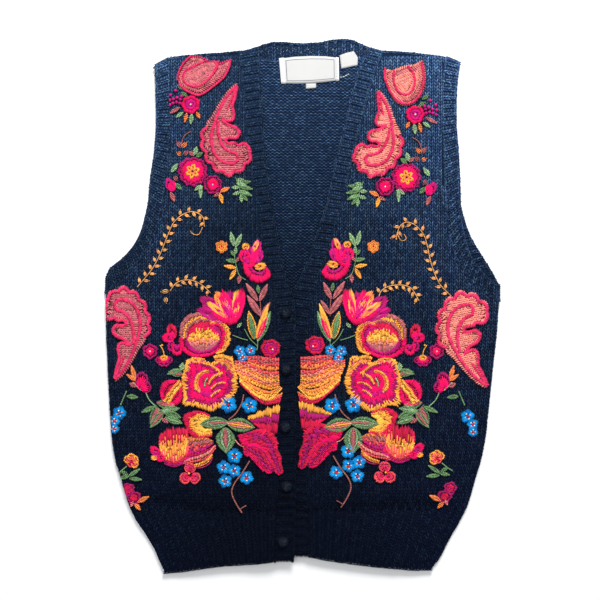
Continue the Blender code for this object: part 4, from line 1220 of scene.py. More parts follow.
def lowPetals(sew):
    sew.patch(((-135.2, 153.3), (-131.9, 160.7), (-122.3, 160.5), (-112.8, 159.9),
               (-104.6, 156.3)), ((-136.4, 143.2), (-129.5, 140.8), (-121.1, 141.6),
                                  (-112.8, 145.6), (-104.2, 152.1)),
              "orange .2 rose .5 coral .75 magenta 1", ragged=0.14)
    sew.patch(((-136.4, 143.2), (-129.5, 140.4), (-121.1, 141.4), (-112.8, 145.2),
               (-101.4, 151.2)), ((-135.4, 131.9), (-128.9, 135.2), (-119.3, 137.6),
                                  (-109.8, 142.4), (-100.8, 149.2)),
              "crimson .5 magenta 1", lift=0.2)
    sew.patch(((-135.7, 133.6), (-129.5, 136.9), (-119.9, 139.6), (-110.4, 144),
               (-101.8, 151.2)), ((-138.1, 128.9), (-129.5, 130.4), (-118.7, 132.3),
                                  (-109.2, 136.4), (-101.1, 146.2)),
              "salmon .6 coral 1", lift=0.6)
    sew.patch(((-125.3, 129.2), (-117.5, 131.9), (-110.4, 136.4), (-105, 140.8)),
               ((-124.1, 125.6), (-116.3, 127.1), (-109.8, 130.9),
                (-105.6, 136)), "gold .7 orange 1", lift=0.8)
    sew.line(((-160.5, 129.5), (-148.6, 125.9), (-137.8, 129.5), (-129.5, 125.9),
              (-117.5, 124.7), (-108, 129.5), (-104.4, 136.6)), "plum", width=1.8)


def threePetals(sew):
    for turn in (90, 215, 325):
        sew.petalAt((-130.5, 117), turn, 14, 14, "coral .3 rosy .7 crimson 1")
    sew.knot((-131.6, 118.2), 4, "gold")


def blueCluster(sew):
    for spot, size in (((-79, 138.2), 10.0), ((-91.5, 125.2), 9.0), ((-79.2, 121), 8.8),
                       ((-89.5, 109.3), 8.8), ((-64.8, 113.4), 9.0)):
        sew.forget(spot, size)
    sew.line(((-61.4, 132.6), (-69.6, 119.3), (-79, 106.5), (-81.9, 95.9), (-77, 83.1),
              (-70.5, 72)), "brown", width=2.1, lift=0.9)
    sew.line(((-72.5, 76), (-68.5, 79), (-65.5, 80.5)), "brown", width=1.5)


def edgeBud(sew):
    sew.petal((-189, 215.3), (-185.4, 236.3), 15.2, "plum .25 pink 1")
    sew.petal((-187.8, 215.3), (-176.1, 221.1), 14, "plum .25 pink 1", lift=0.3)
    sew.leaf((-194.8, 227), (-199.5, 243.4), 6.4, "orange .5 rose 1")
    sew.leaf((-194.8, 225.8), (-205.3, 232.8), 5.8, "orange .6 rose 1")
    sew.leaf((-193.6, 218.8), (-201.8, 222.3), 7.6, "rose .6 rose 1")
    sew.line(((-197.1, 223.5), (-192.5, 218.8), (-187.8, 214.1)), "mint", width=2.0)
    sew.line(((-205.3, 212.9), (-208.8, 204.8), (-212.4, 196.6)), "sage", width=2.2)
    sew.leaf((-204.2, 207.1), (-191.3, 205.9), 7, "sage .6 sage 1")
    sew.line(((-183.1, 214.1), (-178.4, 203.6), (-170.2, 195.4)), "mint", width=1.8)


def sageLeaves(sew):
    sew.leaf((-171.4, 195.4), (-187.8, 188.4), 7, "sage .7 sage 1")
    sew.leaf((-167.9, 194.2), (-177.3, 175.5), 10.5, "sage .45 rose 1")
    sew.leaf((-169.1, 200.1), (-148, 195.4), 10.5, "sage .45 rose 1")
    sew.leaf((-162, 189.5), (-177.3, 170.8), 10.5, "sage .5 rose 1")
    sew.leaf((-159.7, 188.4), (-141, 182.5), 10.5, "sage .6 sage 1")
    sew.line(((-171.4, 197.7), (-165.6, 191.9), (-159.7, 188.4)), "sage", lift=0.5)
    for base, tip in (((-164.5, 190.5), (-142.5, 193.5)), ((-163, 187.5), (-148.5, 199)),
                      ((-159, 183), (-139.5, 176))):
        sew.leaf(base, tip, 9.5, "sage .55 mint 1")
    for base, tip in (((-166, 187), (-170.5, 195)), ((-163, 181.5), (-156, 176.5))):
        sew.leaf(base, tip, 6.5, "rose .6 salmon 1", lift=0.3)


def blueEdge(sew):
    sew.forget((-213.5, 187.2), 9.2)
    sew.forget((-219.5, 178.0), 7.5)
    sew.forget((-220.0, 169.0), 7.0)


def lowOrange(sew):
    for turn in (150, 90, 30, -35):
        sew.petalAt((-199.5, 131), turn, 9.9, 9.9, "gold .35 coral .8 crimson 1")
    sew.blossom((-199.5, 129.5), 7.0, 6.0, "coral .5 crimson 1", 5, dip=0.05, lift=-0.2)
    sew.line(((-205.3, 125.2), (-212.4, 119.3), (-218.2, 115.8)), "sage", width=2.0)
    for base, tip in (((-203, 113.5), (-189, 122.8)), ((-201.8, 111.1), (-186.6, 110)), ((-203, 113.5), (-214.7, 111.1)), ((-204.2, 115.8), (-212.4, 119.3))):
        sew.leaf(base, tip, 5.8, "sage .7 mint 1")


def lowMagenta(sew):
    sew.flower((-203.5, 98), 8.8, "plum .4 crimson .8 magenta 1", 5, dip=0.2)
    sew.flower((-197, 88.3), 9.6, "plum .4 crimson 1", 5, dip=0.2)
    sew.knot((-197, 88.3), 2.6, "rosy")
    sew.leaf((-192.3, 83.4), (-178.6, 90.5), 6.8, "orange .6 salmon 1")
    sew.leaf((-195.8, 81.4), (-189.2, 73.8), 6.4, "orange .6 gold 1")
    sew.leaf((-198, 84), (-200.5, 78), 5.0, "salmon .6 rose 1")


def leftTulip(sew):
    # salmon wool here, against dusty in the right front's tulip: painted light on the wearer's left front
    sew.fill(((96, 590), (104, 588), (113, 591), (122, 594), (131, 595), (140, 599.5),
              (143.5, 588), (144, 574), (140, 560), (132, 550), (121.5, 546), (111, 549),
              (103, 559), (97.5, 572), (94.5, 583)),
             "salmon 4.2 dusty 4.2 salmon 4", pace=1.9, lift=-0.1)
    for run in (((96.5, 590), (96, 580), (99, 570), (104.5, 559), (112, 551), (121.5, 548),
                 (131, 552), (138, 561), (141.5, 574), (141, 587), (139, 597)),
                ((106.5, 587), (106.5, 575), (111, 564), (119, 558.5), (127, 562.5),
                 (131, 573), (129, 584), (124, 592))):
        sew.rope(run, "rosy", 4.2)


def leftShoulderPaisley(sew):
    # salmon wool here, against dusty in the right front's paisley: painted light on the wearer's left front
    plume(sew, (94, 508.5), (0.84, -0.88), -20, -1, 5.4, "salmon")


def leftLargePaisley(sew):
    # salmon wool here, against dusty in the right front's paisley: painted light on the wearer's left front
    plume(sew, (186.4, 274), (1.0, 1.0), 1, 1, 6.2, "salmon")


def leftUpperVine(sew):
    stem = ((173, 324), (159, 339), (150.5, 360), (145.5, 383), (141, 396), (131.5, 406.5),
            (122, 410), (114.5, 406.5), (110.5, 397.5), (109, 389.5))
    sew.line(stem, "vine", width=1.1)
    sew.loopsAlong(stem, 12, 6.6, 2.9, "vine")
    sew.line(((110.5, 396.5), (115, 388.5), (121, 390.5), (118.5, 396)), "vine", width=1.1)


def leftLowerVine(sew):
    stem = ((89, 323.5), (91, 329), (96, 333.5), (103, 336), (112, 337), (120.5, 336),
            (127, 332.5), (131.5, 326), (135.5, 318.5))
    sew.line(stem, "vine", width=1.1)
    sew.loopsAlong(stem, 7, 6.4, 2.9, "vine")


placings = (  # motif, its middle as drawn on the right front, its middle on the left front, turn there
    (shoulderTulip, (-116.4, 581.5), None, 0), (shoulderSpray, (-130.5, 547.6), (131.6, 535.9), 0),
    (shoulderPaisley, (-90.7, 516), None, 0), (shoulderTwig, (-136.3, 500.8), (134, 493.7), 0),
    (ringFlower, (-128.1, 469.2), (121.1, 462.1), 0), (smallRingFlower, (-104.7, 454), (96.5, 451.6), 0),
    (sideBud, (-153.9, 452.8), (149.2, 448.1), 0), (shoulderLeaves, (-96.5, 445.8), (89.5, 441.1), 0),
    (upperVine, (-152.7, 380.2), None, 0), (lowerVine, (-134, 334.6), None, 0),
    (orangeFlower, (-94.2, 381.4), (82.5, 381.4), 0), (greenSprig, (-79, 366.2), (62.6, 367.4), 0),
    (tallPoppy, (-54.4, 362.7), (40.4, 365), 0), (brownSprig, (-54.4, 321.8), (38, 324.1), 0),
    (lilyBud, (-53.2, 290.2), (33.3, 290.2), 0), (widePoppy, (-95.4, 308.9), (75.5, 308.9), 0), (pansy, (-114.1, 277.3), (91.8, 276.1), 0),
    (pinkTwins, (-157.4, 265.6), (136.3, 265.6), 0), (largePaisley, (-204.2, 284.3), None, 0),
    (bigRose, (-108.2, 223.5), (82.5, 223.5), 0), (roseBud, (-153.9, 211.8), (126.9, 211.8), 0), (blueTrio, (-68.4, 257.4), (40.4, 257.4), 0),
    (crimsonCup, (-35.7, 263.2), (13.5, 266.8), 0), (wideFan, (-52.1, 227), (22.8, 228.1), 0), (lowFan, (-45, 182.5), (14.6, 187.2), 0),
    (lowBloom, (-45, 145.1), (17, 150.9), 0), (blueDuo, (-73.1, 196.6), (46.2, 196.6), 0), (redFlower, (-119.9, 174.3), (91.8, 177.8), 0),
    (lowTulip, (-150.3, 152.1), (114.1, 155.6), 0), (lowPetals, (-122.3, 141.6), (86, 146.2), 0), (trioLeaves, (-87.2, 174.3), (56.7, 174.3), 0),
    (threePetals, (-130.5, 117), (95.4, 118.2), 0), (blueCluster, (-79, 118.2), (53.2, 124), 0), (edgeBud, (-190.1, 218.8), (166.7, 218.8), 0),
    (sageLeaves, (-164.4, 188.4), (134, 188.4), 0), (blueEdge, (-215.9, 183.7), (194.8, 180.2), 0), (lowOrange, (-200.7, 122.8), (157.4, 127.5), 0),
    (lowMagenta, (-203, 87.8), (171.4, 90.1), 0),
)


print("embroidery")
needlework = {"right": Needlework("right"), "left": Needlework("left")}
for motif, middle, opposite, turn in placings:
    for side, to, flip, lean in (("right", middle, 1.0, 0.0), ("left", opposite, -1.0, turn)):
        if to:
            needlework[side].onto(middle, to, flip, lean)
            motif(needlework[side])
needlework["left"].onto((0, 0), (0, 0), 1.0, 0.0)
for motif in (leftTulip, leftShoulderPaisley, leftLargePaisley, leftUpperVine, leftLowerVine):
    motif(needlework["left"])


class Cover:
    # where the embroidery hides the cloth, on a 1 mm grid
    def __init__(self):
        self.hidden = np.zeros((660, 500), bool)

    def add(self, threads):
        for t in np.linspace(0.04, 0.96, 9):
            spots = threads[:, 0:2] + (threads[:, 2:4] - threads[:, 0:2]) * t
            column, row = (spots[:, 0] + 250).astype(int), (spots[:, 1] + 10).astype(int)
            for i in (-1, 0, 1):
                for j in (-1, 0, 1):
                    self.hidden[row + j, column + i] = True

    def over(self, spots):
        # True where all that is round a spot is hidden
        column, row = (spots[:, 0] + 250).astype(int), (spots[:, 1] + 10).astype(int)
        return np.all([self.hidden[row + j, column + i] for i in (-3, 0, 3) for j in (-3, 0, 3)],
                      axis=0)


cover = Cover()
for work in needlework.values():
    cover.add(work.threads())


def threadCopies(side, rows, shape):
    points, faces = shapes[shape]
    starts, ends = rows[:, 0:2], rows[:, 2:4]
    width, lift, arch, bow = (rows[:, k][:, None] for k in (4, 5, 6, 7))
    half = (ends - starts) / 2
    unit = half / np.maximum(np.hypot(*half.T)[:, None], 1e-6)
    sideways = np.stack([-unit[:, 1], unit[:, 0]], axis=1)
    x, y, z = points.T
    out = x[None] * width + bow * (1 - y[None] ** 2)
    flat = ((starts + ends) / 2)[:, None] + y[None, :, None] * half[:, None] \
        + out[..., None] * sideways[:, None]
    up = (ground[side](flat[..., 0], flat[..., 1]) + 1.25 + lift + arch * (1 - y[None] ** 2)
          + z[None] * width * 0.85)
    share = ((y + 1) / 2)[None, :, None]
    tints = rows[:, None, 8:11] * (1 - share) + rows[:, None, 11:14] * share
    # painted shade down the sides of each thread, painted highlight along its top
    tints = tints * paintedShade(points * (1, 0, 1), 0.5, 1.2)
    return toMetres(flat[..., 0], flat[..., 1], up), faces, tints


def embroideryPiece(side, part, low, high):
    rows = needlework[side].threads()
    middle = (rows[:, 1] + rows[:, 3]) / 2
    rows = rows[(middle >= low) & (middle < high)]
    long = np.hypot(*(rows[:, 2:4] - rows[:, 0:2]).T) > 4.5
    print(f"  {side} {part}: {len(rows)} threads, {long.sum()} of them long")
    parts = [threadCopies(side, rows[long], "thread"),
             threadCopies(side, rows[~long], "shortThread")]
    return joinedPiece(f"embroidery_{part}_{side}", parts, finishes["wool"])


embroidery = {side: [embroideryPiece(side, "shoulder", 426, 700),
                     embroideryPiece(side, "bouquet", 0, 426)] for side in ("right", "left")}

# ---- knit stitches


def draped(shape, layer, origins, across, along, lift=0.0, height=1.0):
    # copies of a shape at origins, laid on a layer's cloth
    points, faces = shape
    flat = (origins[:, None, :] + points[None, :, 0:1] * across[:, None, :]
            + points[None, :, 1:2] * along[:, None, :])
    up = np.broadcast_to(np.asarray(lift, float), len(origins))[:, None]
    tall = np.broadcast_to(np.asarray(height, float), len(origins))[:, None]
    z = ground[layer](flat[..., 0], flat[..., 1]) + up + points[None, :, 2] * tall
    return toMetres(flat[..., 0], flat[..., 1], z), faces


# the top colour is painted light, mixed in near the shoulders; purl is the band yarn made a little darker,
# painted shade in the rib's recessed columns and seams
navy = {"knit": (0.0011, 0.0031, 0.0150), "purl": (0.0009, 0.0022, 0.0085),
        "band": (0.0012, 0.0026, 0.0095),
        "inside": (0.0034, 0.0082, 0.0240), "top": (0.0380, 0.0800, 0.1900)}


def yarnDyeAndPaintedLight(name, spots):
    # dyed unevenly; painted light makes it paler towards the shoulders, the outer sides and the hem, painted
    # shade makes it darkest on the wearer's right front near the middle, and its palest stitches are greyed
    # as painted highlights
    count = len(spots)
    share = np.exp(0.36 * rng.standard_normal((count, 1)).clip(-2, 2))
    warm = 1 + 0.06 * rng.standard_normal((count, 3))
    # painted light: mixed towards the pale top colour near the shoulders
    high = np.clip(spots[:, 1:2] / 600, 0, 1) ** 2.6
    # painted light and shade: darkest on the wearer's right front near the middle, palest at the wearer's
    # left side
    side = np.interp(spots[:, 0:1], (-230, -170, -120, -80, -45, 0, 60, 100, 150, 200, 230),
                     (1.0, 0.98, 0.64, 0.47, 0.46, 0.66, 0.82, 0.95, 1.24, 1.46, 1.38))
    # painted shade: the back's inside grows darker down the neck opening
    if name == "inside":
        side = 1.14 - 0.66 * np.clip((430 - spots[:, 1:2]) / 180, 0, 1)
    # painted light: a little paler towards the hem
    low = 1 + 0.22 * np.clip(1 - spots[:, 1:2] / 200, 0, 1)
    color = (np.array(navy[name]) * (1 - high) + np.array(navy["top"]) * high) * share
    # painted highlight: the palest stitches turn blue-grey
    grey = color.mean(axis=1, keepdims=True) * (0.52, 1.02, 1.55)
    fade = np.clip(share - 0.75, 0, 0.5)
    return (color * (1 - fade) + grey * fade) * side * low * warm


def knitParts(layer, origins, across, along, lift=0.0, name="knit"):
    # both legs of each V
    parts = []
    for shape in (shapes["leg"], mirrored(shapes["leg"])):
        jitter = rng.normal(0, 0.12, origins.shape)
        size = 1 + rng.normal(0, 0.05, (len(origins), 1))
        points, faces = draped(shape, layer, origins + jitter, across * size, along * size, lift)
        # painted shade on the sides of each leg, painted highlight on its back
        parts.append((points, faces,
                      yarnDyeAndPaintedLight(name, origins)[:, None] * paintedShade(shape[0], 0.4, 1.5)))
    return parts


def purlParts(layer, origins, across, along, lift, name="purl"):
    jitter = rng.normal(0, 0.1, origins.shape)
    points, faces = draped(shapes["bump"], layer, origins + jitter, across, along, lift)
    # painted shade on the sides of each bump, painted highlight on its back
    return [(points, faces,
             yarnDyeAndPaintedLight(name, origins)[:, None] * paintedShade(shapes["bump"][0], 0.4, 1.5))]


def panelStitches(side, seam, outer, underarm, wales):
    # rows of V's between the front band and the side, following both
    sign = -1.0 if side == "right" else 1.0
    rows = np.arange(vest["hemTop"] + 1.2, 606, vest["course"])
    spots, scale = [], []
    top = at["shoulder" + side.title()]
    for j, height in enumerate(rows):
        low = min(height, underarm)
        start = at[seam](min(height, 292.0))
        width = abs(outer(low) - start) / wales
        for i in range(-18, wales):
            x = start + sign * (i + 0.5) * width
            x += 0.35 * math.sin(height / 23 + i * 0.7)
            inner = sign * (x - at[seam](height))
            toSide = sign * (outer(height) - x)
            if inner > 0.3 * width and toSide > 0.25 * width and height < top(x) - 0.8:
                spots.append((x, height + 0.25 * math.sin(x / 17)))
                scale.append(width / vest["wale"])
    spots, scale = np.array(spots), np.array(scale)
    bare = ~cover.over(spots)
    spots, scale = spots[bare], scale[bare]
    across = np.stack([scale, np.zeros(len(scale))], axis=1)
    along = np.tile((0.0, 1.0), (len(scale), 1))
    print(f"  {side} front: {len(spots)} stitches")
    return spots, across, along


def perpendicular(along):
    length = np.hypot(*along.T)[:, None]
    return np.stack([along[:, 1], -along[:, 0]], axis=1) / length


def bandStitches(layer, seam, free, rib, rows, lifts=(0.25, -0.5)):
    # a ribbed band: V columns and purl columns run from the seam to the free edge
    ribs = round(runLength(seam) / rib)
    low, high = pacedOut(seam, 2 * ribs + 1), pacedOut(free, 2 * ribs + 1)
    parts, shares = [], (np.arange(rows) + 0.5) / rows
    for kind in (1, 0):
        s, f = low[kind::2], high[kind::2]
        spots = (s[:, None] + (f - s)[:, None] * shares[None, :, None]).reshape(-1, 2)
        step = np.repeat((f - s) / rows, rows, axis=0)
        unit = step / np.hypot(*step.T)[:, None]
        across = perpendicular(unit)
        if kind:
            along = step / vest["course"]
            parts += knitParts(layer, spots, across * 1.02, along, lifts[0], "band")
        else:
            for half in (-0.25, 0.25):
                along = unit * (0.9 if half > 0 else -0.9)
                parts += purlParts(layer, spots + step * half, across * 0.95, along, lifts[1])
    return parts


def insetRun(points, inner, depth):
    # an edge moved a little towards another
    toward = pacedOut(inner, len(points)) - points
    return points + toward / np.maximum(np.hypot(*toward.T), 1e-6)[:, None] * depth


def edgeChain(layer, points, pace, lift, width=1.0, name="knit"):
    # the bound-off edge: a chain of V's along it
    count = int(runLength(points) / pace) + 1
    spots = pacedOut(points, count)
    way = np.gradient(spots, axis=0)
    unit = way / np.hypot(*way.T)[:, None]
    return knitParts(layer, spots, perpendicular(unit) * width, unit * pace / vest["course"],
                     lift, name)


def insideStitches():
    # the back's purl side, where the neck shows it
    spots = []
    for j, height in enumerate(np.arange(300, 606, vest["course"] / 2)):
        left = at["bandFreeRight"](height) - 14
        right = at["bandFreeLeft"](height) + 14
        start = left - left % vest["wale"]
        for x in np.arange(start, right, vest["wale"]):
            middle = x + (j % 2) * vest["wale"] / 2
            if height < at["backTop"](middle) - 1:
                spots.append((middle + 0.3 * math.sin(height / 19), height, j % 2))
    spots = np.array(spots)
    parts = []
    for odd in (0, 1):
        some = spots[spots[:, 2] == odd][:, :2]
        across = np.tile((0.92, 0.0), (len(some), 1))
        along = np.tile((0.0, 0.85 if odd else -0.85), (len(some), 1))
        parts += purlParts("back", some, across, along, 0.15, "inside")
    return parts


print("knit stitches")
bodies = (("right", "bandSeamRight", panelRight, vest["underarmRight"], 40),
          ("left", "bandSeamLeft", panelLeft, vest["underarmLeft"], 44))
for side, seam, outer, underarm, wales in bodies:
    spots, across, along = panelStitches(side, seam, outer, underarm, wales)
    parts = knitParts(side, spots, across, along)
    heights = np.linspace(vest["hemTop"], underarm - 3, 90)
    sides = np.stack([outer(heights), heights], axis=1)
    parts += edgeChain(side, insetRun(sides, sides * (0, 1), 1.2), 3.7, -0.2, 0.55)
    joinedPiece(f"stitches_front_{side}", parts, finishes["knit"])

for side in ("right", "left"):
    name = side.title()
    seam = edgePoints("bandSeam" + name, high=609.5)
    free = edgePoints("bandFree" + name, high=613.5)
    parts = bandStitches(side, seam, free, vest["ribAcross"], 6)
    parts += edgeChain(side, insetRun(free, seam, 0.8), 3.6, 0.5, 0.62)
    parts += edgeChain(side, seam, 3.7, -0.3, 0.6, "purl")
    joinedPiece(f"stitches_band_{side}", parts, finishes["knit"])
    "band" + name
    armSeam = edgePoints("armSeam" + name)
    armFree = edgePoints("armFree" + name)
    parts = bandStitches(side, armSeam, armFree, vest["ribAcross"], 5)
    parts += edgeChain(side, insetRun(armFree, armSeam, 0.8), 3.6, 0.5, 0.62)
    parts += edgeChain(side, armSeam, 3.7, -0.3, 0.6, "purl")
    # fills the corner under the arm, where the band is folded to the back
    inwards = 1.0 if side == "right" else -1.0
    for depth in (0.7, 2.6):
        fold = np.linspace(armSeam[0], armFree[0], 12) + (inwards * depth, 0)
        parts += edgeChain(side, fold, 2.2, -0.9, 1.15, "purl")
    xs = np.linspace(at["shoulder" + name].low, at["shoulder" + name].high, 60)
    top = np.stack([xs, at["shoulder" + name](xs) - 1.0], axis=1)
    parts += edgeChain(side, top, 3.7, 0.1, 0.62)
    joinedPiece(f"stitches_armhole_{side}", parts, finishes["knit"])
    "arm" + name


def hemStitches(side):
    name = side.title()
    seamAt, sideAt, edge = at["bandSeam" + name], at["hemSide" + name], at["hemEdge" + name]
    ribs = round(abs(float(sideAt(40) - seamAt(40))) / vest["hemRibAcross"])
    columns = np.arange(2 * ribs + 1) / (2 * ribs)
    low, high = [], []
    for share in columns:
        x = float(seamAt(76) + (sideAt(76) - seamAt(76)) * share)
        high.append((x, vest["hemTop"]))
        for _ in range(12):
            height = float(edge(x))
            x = float(seamAt(height) + (sideAt(height) - seamAt(height)) * share)
        low.append((x, height))
    low, high = np.array(low), np.array(high)
    rows, parts = 20, []
    shares = (np.arange(rows) + 0.5) / rows
    for kind in (1, 0):
        s, f = low[kind::2], high[kind::2]
        heights = (s[:, None, 1] + (f - s)[:, None, 1] * shares[None])
        part = np.repeat(columns[kind::2][:, None], rows, axis=1) * 0.988
        xs = seamAt(heights) + (sideAt(heights) - seamAt(heights)) * part
        spots = np.stack([xs, heights], axis=-1).reshape(-1, 2)
        width = (np.abs(sideAt(heights) - seamAt(heights)) / (2 * ribs)).reshape(-1)
        across = np.stack([width / vest["wale"], 0 * width], axis=1)
        step = np.repeat((f - s)[:, 1] / rows, rows)
        along = np.stack([0 * step, step / vest["course"]], axis=1)
        if kind:
            parts += knitParts(side, spots, across * 1.04, along, 0.2)
        else:
            for half in (-0.25, 0.25):
                flip = 1.0 if half > 0 else -1.0
                shift = np.stack([0 * step, step * half], axis=1)
                parts += purlParts(side, spots + shift, across * 0.95, along * 0.85 * flip, -0.25,
                                   "knit")
    bottom = np.stack([at["hemEdge" + name](low[:, 0]) * 0 + low[:, 0], low[:, 1]], axis=1)
    parts += edgeChain(side, bottom, 3.8, 0.4, 0.6)
    heights = np.linspace(bottom[-1, 1] + 1, vest["hemTop"] + 1, 30)
    sides = np.stack([sideAt(heights), heights], axis=1)
    return parts + edgeChain(side, insetRun(sides, sides * (0, 1), 1.2), 3.7, -0.2, 0.55)


for side in ("right", "left"):
    joinedPiece(f"stitches_hem_{side}", hemStitches(side),
                                         finishes["knit"])
    "hem" + side

joinedPiece("stitches_inside_back", insideStitches(), finishes["knit"])


def neckStitches():
    xs = np.linspace(-69, 93, 200)
    low = np.stack([xs, at["backTop"](xs) + 0.7], axis=1)
    high = np.stack([xs, at["neckTop"](xs) - 0.5], axis=1)
    parts = bandStitches("back", low, high, vest["ribAcross"], 5)
    parts += edgeChain("back", insetRun(high, low, 0.8), 3.6, 0.4, 0.62)
    parts += edgeChain("back", low, 3.7, 0.2, 0.6, "inside")
    # pinholes between the stitches: pale specks laid on the band, painted light standing in for the pale
    # floor behind them
    dice = np.random.default_rng(3)
    xs = np.concatenate([np.arange(-58, 82, 3.6), np.arange(-40, 60, 7.5)])
    shares = dice.uniform(0.35, 0.75, len(xs))
    heights = at["backTop"](xs) * (1 - shares) + at["neckTop"](xs) * shares
    points, faces = shapes["shortThread"]
    size = dice.uniform(0.35, 1.0, (len(xs), 1, 1))
    paintedLightSpecks = (points * (0.75, 0.45, 0.3))[None] * size
    x, y = xs[:, None] + paintedLightSpecks[..., 0], heights[:, None] + paintedLightSpecks[..., 1]
    z = ground["back"](x, y) + 1.55 + paintedLightSpecks[..., 2]
    # pale blue-grey tint: painted light of the floor behind the pinholes
    return parts + [(toMetres(x, y, z), faces, np.tile((0.62, 0.68, 0.78), (len(xs), 1)))]


def backBandStitches():
    # the back's own armhole band, which shows past the front one under the left arm
    inner = edgePoints("armFreeLeft", 339, 440) - (3.0, 0.0)
    outer = edgePoints("backFreeLeft", 337, 440)
    parts = bandStitches("under", inner, outer, vest["ribAcross"], 4, (0.3, -0.5))
    return parts + edgeChain("under", insetRun(outer, inner, 0.8), 3.6, 0.5, 0.62)


joinedPiece("stitches_neck", neckStitches(), finishes["knit"])
ground["under"] = lambda x, height: np.full(np.shape(x), 1.9)
joinedPiece("stitches_back_armhole", backBandStitches(), finishes["knit"])

print("buttons")
buttons = {
    "spots": ((-19.3, 304), (-19.0, 239), (-19.6, 172), (-18.4, 104), (-22.5, 39)),
    "rounds": ((0.97, 17), (0.72, 13), (0.46, 8), (0.2, 4)),     # share of the radius, stitches
    # the crown colour is paler than the rim: painted sheen on the dome's top
    "rim": (0.0040, 0.0062, 0.0130), "crownSheen": (0.0260, 0.0330, 0.0480),
}


def domeShape(bm):
    bmesh.ops.create_uvsphere(bm, u_segments=20, v_segments=10, radius=1.0)


def buttonPiece(number, spot):
    # a crocheted cap over a round button: rounds of V stitches that close at the top
    node = f"button_{number}"
    low, high = (np.array(corner) * 1000 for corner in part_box(node))
    radius, tall = (high[0] - low[0]) / 2 - 0.4, high[2] - low[2] - 1.0
    middle, waist = np.array(((low[0] + high[0]) / 2, spot[1])), low[2] + tall * 0.28
    dome, faces = prototype(domeShape)
    dome = dome * (radius, radius, 1)
    dome[:, 2] *= np.where(dome[:, 2] > 0, tall * 0.72, tall * 0.28)
    dome = dome + (*middle, waist)
    parts = [(toMetres(*dome.T)[None], faces, np.array(buttons["rim"])[None] * 0.6)]
    for share, count in buttons["rounds"]:
        turns = np.linspace(0, 2 * np.pi, count, endpoint=False) + share * 3
        ways = np.stack([np.cos(turns), np.sin(turns)], axis=1)
        width = 2 * np.pi * share * radius / count / vest["wale"]
        across = np.stack([-ways[:, 1], ways[:, 0]], axis=1) * width
        for local, legFaces in (shapes["leg"], mirrored(shapes["leg"])):
            flat = ((middle + ways * share * radius)[:, None]
                    + local[None, :, 0:1] * across[:, None]
                    - local[None, :, 1:2] * 0.42 * ways[:, None])
            away = np.hypot(*(flat - middle).reshape(-1, 2).T).reshape(flat.shape[:2]) / radius
            z = (waist + tall * 0.72 * np.sqrt(np.clip(1 - away ** 2, 0, 1))
                 + local[None, :, 2] * 0.55)
            # rounds blend from the dark rim to the pale crown: painted sheen on the top of the dome
            tintWithPaintedLight = (np.array(buttons["rim"]) * share + np.array(buttons["crownSheen"]) * (1 - share)) \
                * np.exp(0.45 * rng.standard_normal((count, 1)))
            # painted shade on the sides of each leg, painted highlight on its back
            parts.append((toMetres(flat[..., 0], flat[..., 1], z), legFaces,
                          tintWithPaintedLight[:, None] * paintedShade(local, 0.35, 1.5)))
    return joinedPiece(node + "_crochet", parts, finishes["knit"], (node,))


for number, spot in enumerate(buttons["spots"], 1):
    buttonPiece(number, spot)

buttonhole = Needlework("right")
buttonhole.onto((0, 0), (0, 0), 1.0, 0.0)
# a wide near-black thread along the slit, painted shade for the buttonhole's dark opening
buttonhole.sew([(-25.6, 92.9)], [(-12.6, 92.6)], 4.2, "paintedSlitShade", "paintedSlitShade", 0.1, 0.1)
for k in range(14):
    turn = math.radians(360 / 14 * k + 10)
    spot = np.array((-19.1 + 6.4 * math.cos(turn), 92.7 + 2.3 * math.sin(turn)))
    way = np.array((0.6 * math.cos(turn), 1.0 * math.sin(turn)))
    buttonhole.sew([spot - way * 0.3], [spot + way * 1.0], 1.1, "night", "night", 0.5, 0.25)
joinedPiece("buttonhole_edge", [threadCopies("right", np.concatenate(buttonhole.rows),
                                             "shortThread")], finishes["knit"])

print("labels")
labels = {
    # each row is a station across the label: x and height of its lower, then its upper end
    "neck_label": ((-25, 573.5, -27.5, 602), (-8, 573, -9, 604.5), (10, 573.5, 10, 605.5),
                   (27, 575, 27, 605), (43, 577, 42.5, 603)),
    "care_label": ((45.5, 590.5, 43.5, 606), (52.5, 592, 51, 609), (59.5, 593.5, 60, 611),
                   (64.5, 594.5, 65, 603.5)),
    "size_label": ((4, 567, 4, 572.9), (16, 568, 16, 573.3)),
    "seat": 3.35,       # height of the labels over the floor
    "thickness": 0.28,
}


def satinMaterial(name, color, framed):
    # woven satin: fine ribs across, and a thin grey frame on the neck label
    finish = Finish(name, 0.42, 0.15, (1, 1, 1), specular=0.4)
    spot = finish.place()
    parts = {k: finish.node("ShaderNodeSeparateXYZ", {}, {0: spot}, output=k) for k in "XY"}
    ribs = (parts["Y"] * (2 * math.pi / 0.45)).sine() * 0.5 + 0.5
    cross = (parts["X"] * (2 * math.pi / 0.6)).sine() * 0.5 + 0.5
    cloudy = finish.noise(spot, 0.12, 3.0)
    shade = finish.tinted(color, 0.93 + 0.06 * cloudy + 0.03 * ribs)
    if framed:
        uv = finish.node("ShaderNodeUVMap", {"uv_map": "UVMap"})
        across = abs(finish.node("ShaderNodeSeparateXYZ", {}, {0: uv}, output="X") - 0.508)
        up = abs(finish.node("ShaderNodeSeparateXYZ", {}, {0: uv}, output="Y") - 0.5)
        sides = abs(across - 0.402).below(0.0058) * up.below(0.405)
        ends = abs(up - 0.395).below(0.0125) * across.below(0.406)
        shade = finish.mixed(sides + ends, shade, (0.09, 0.095, 0.12, 1))
    finish.set(Base_Color=shade, Normal=finish.bump(ribs * 0.6 + cross * 0.3, 0.35, 0.0002))
    return finish.material


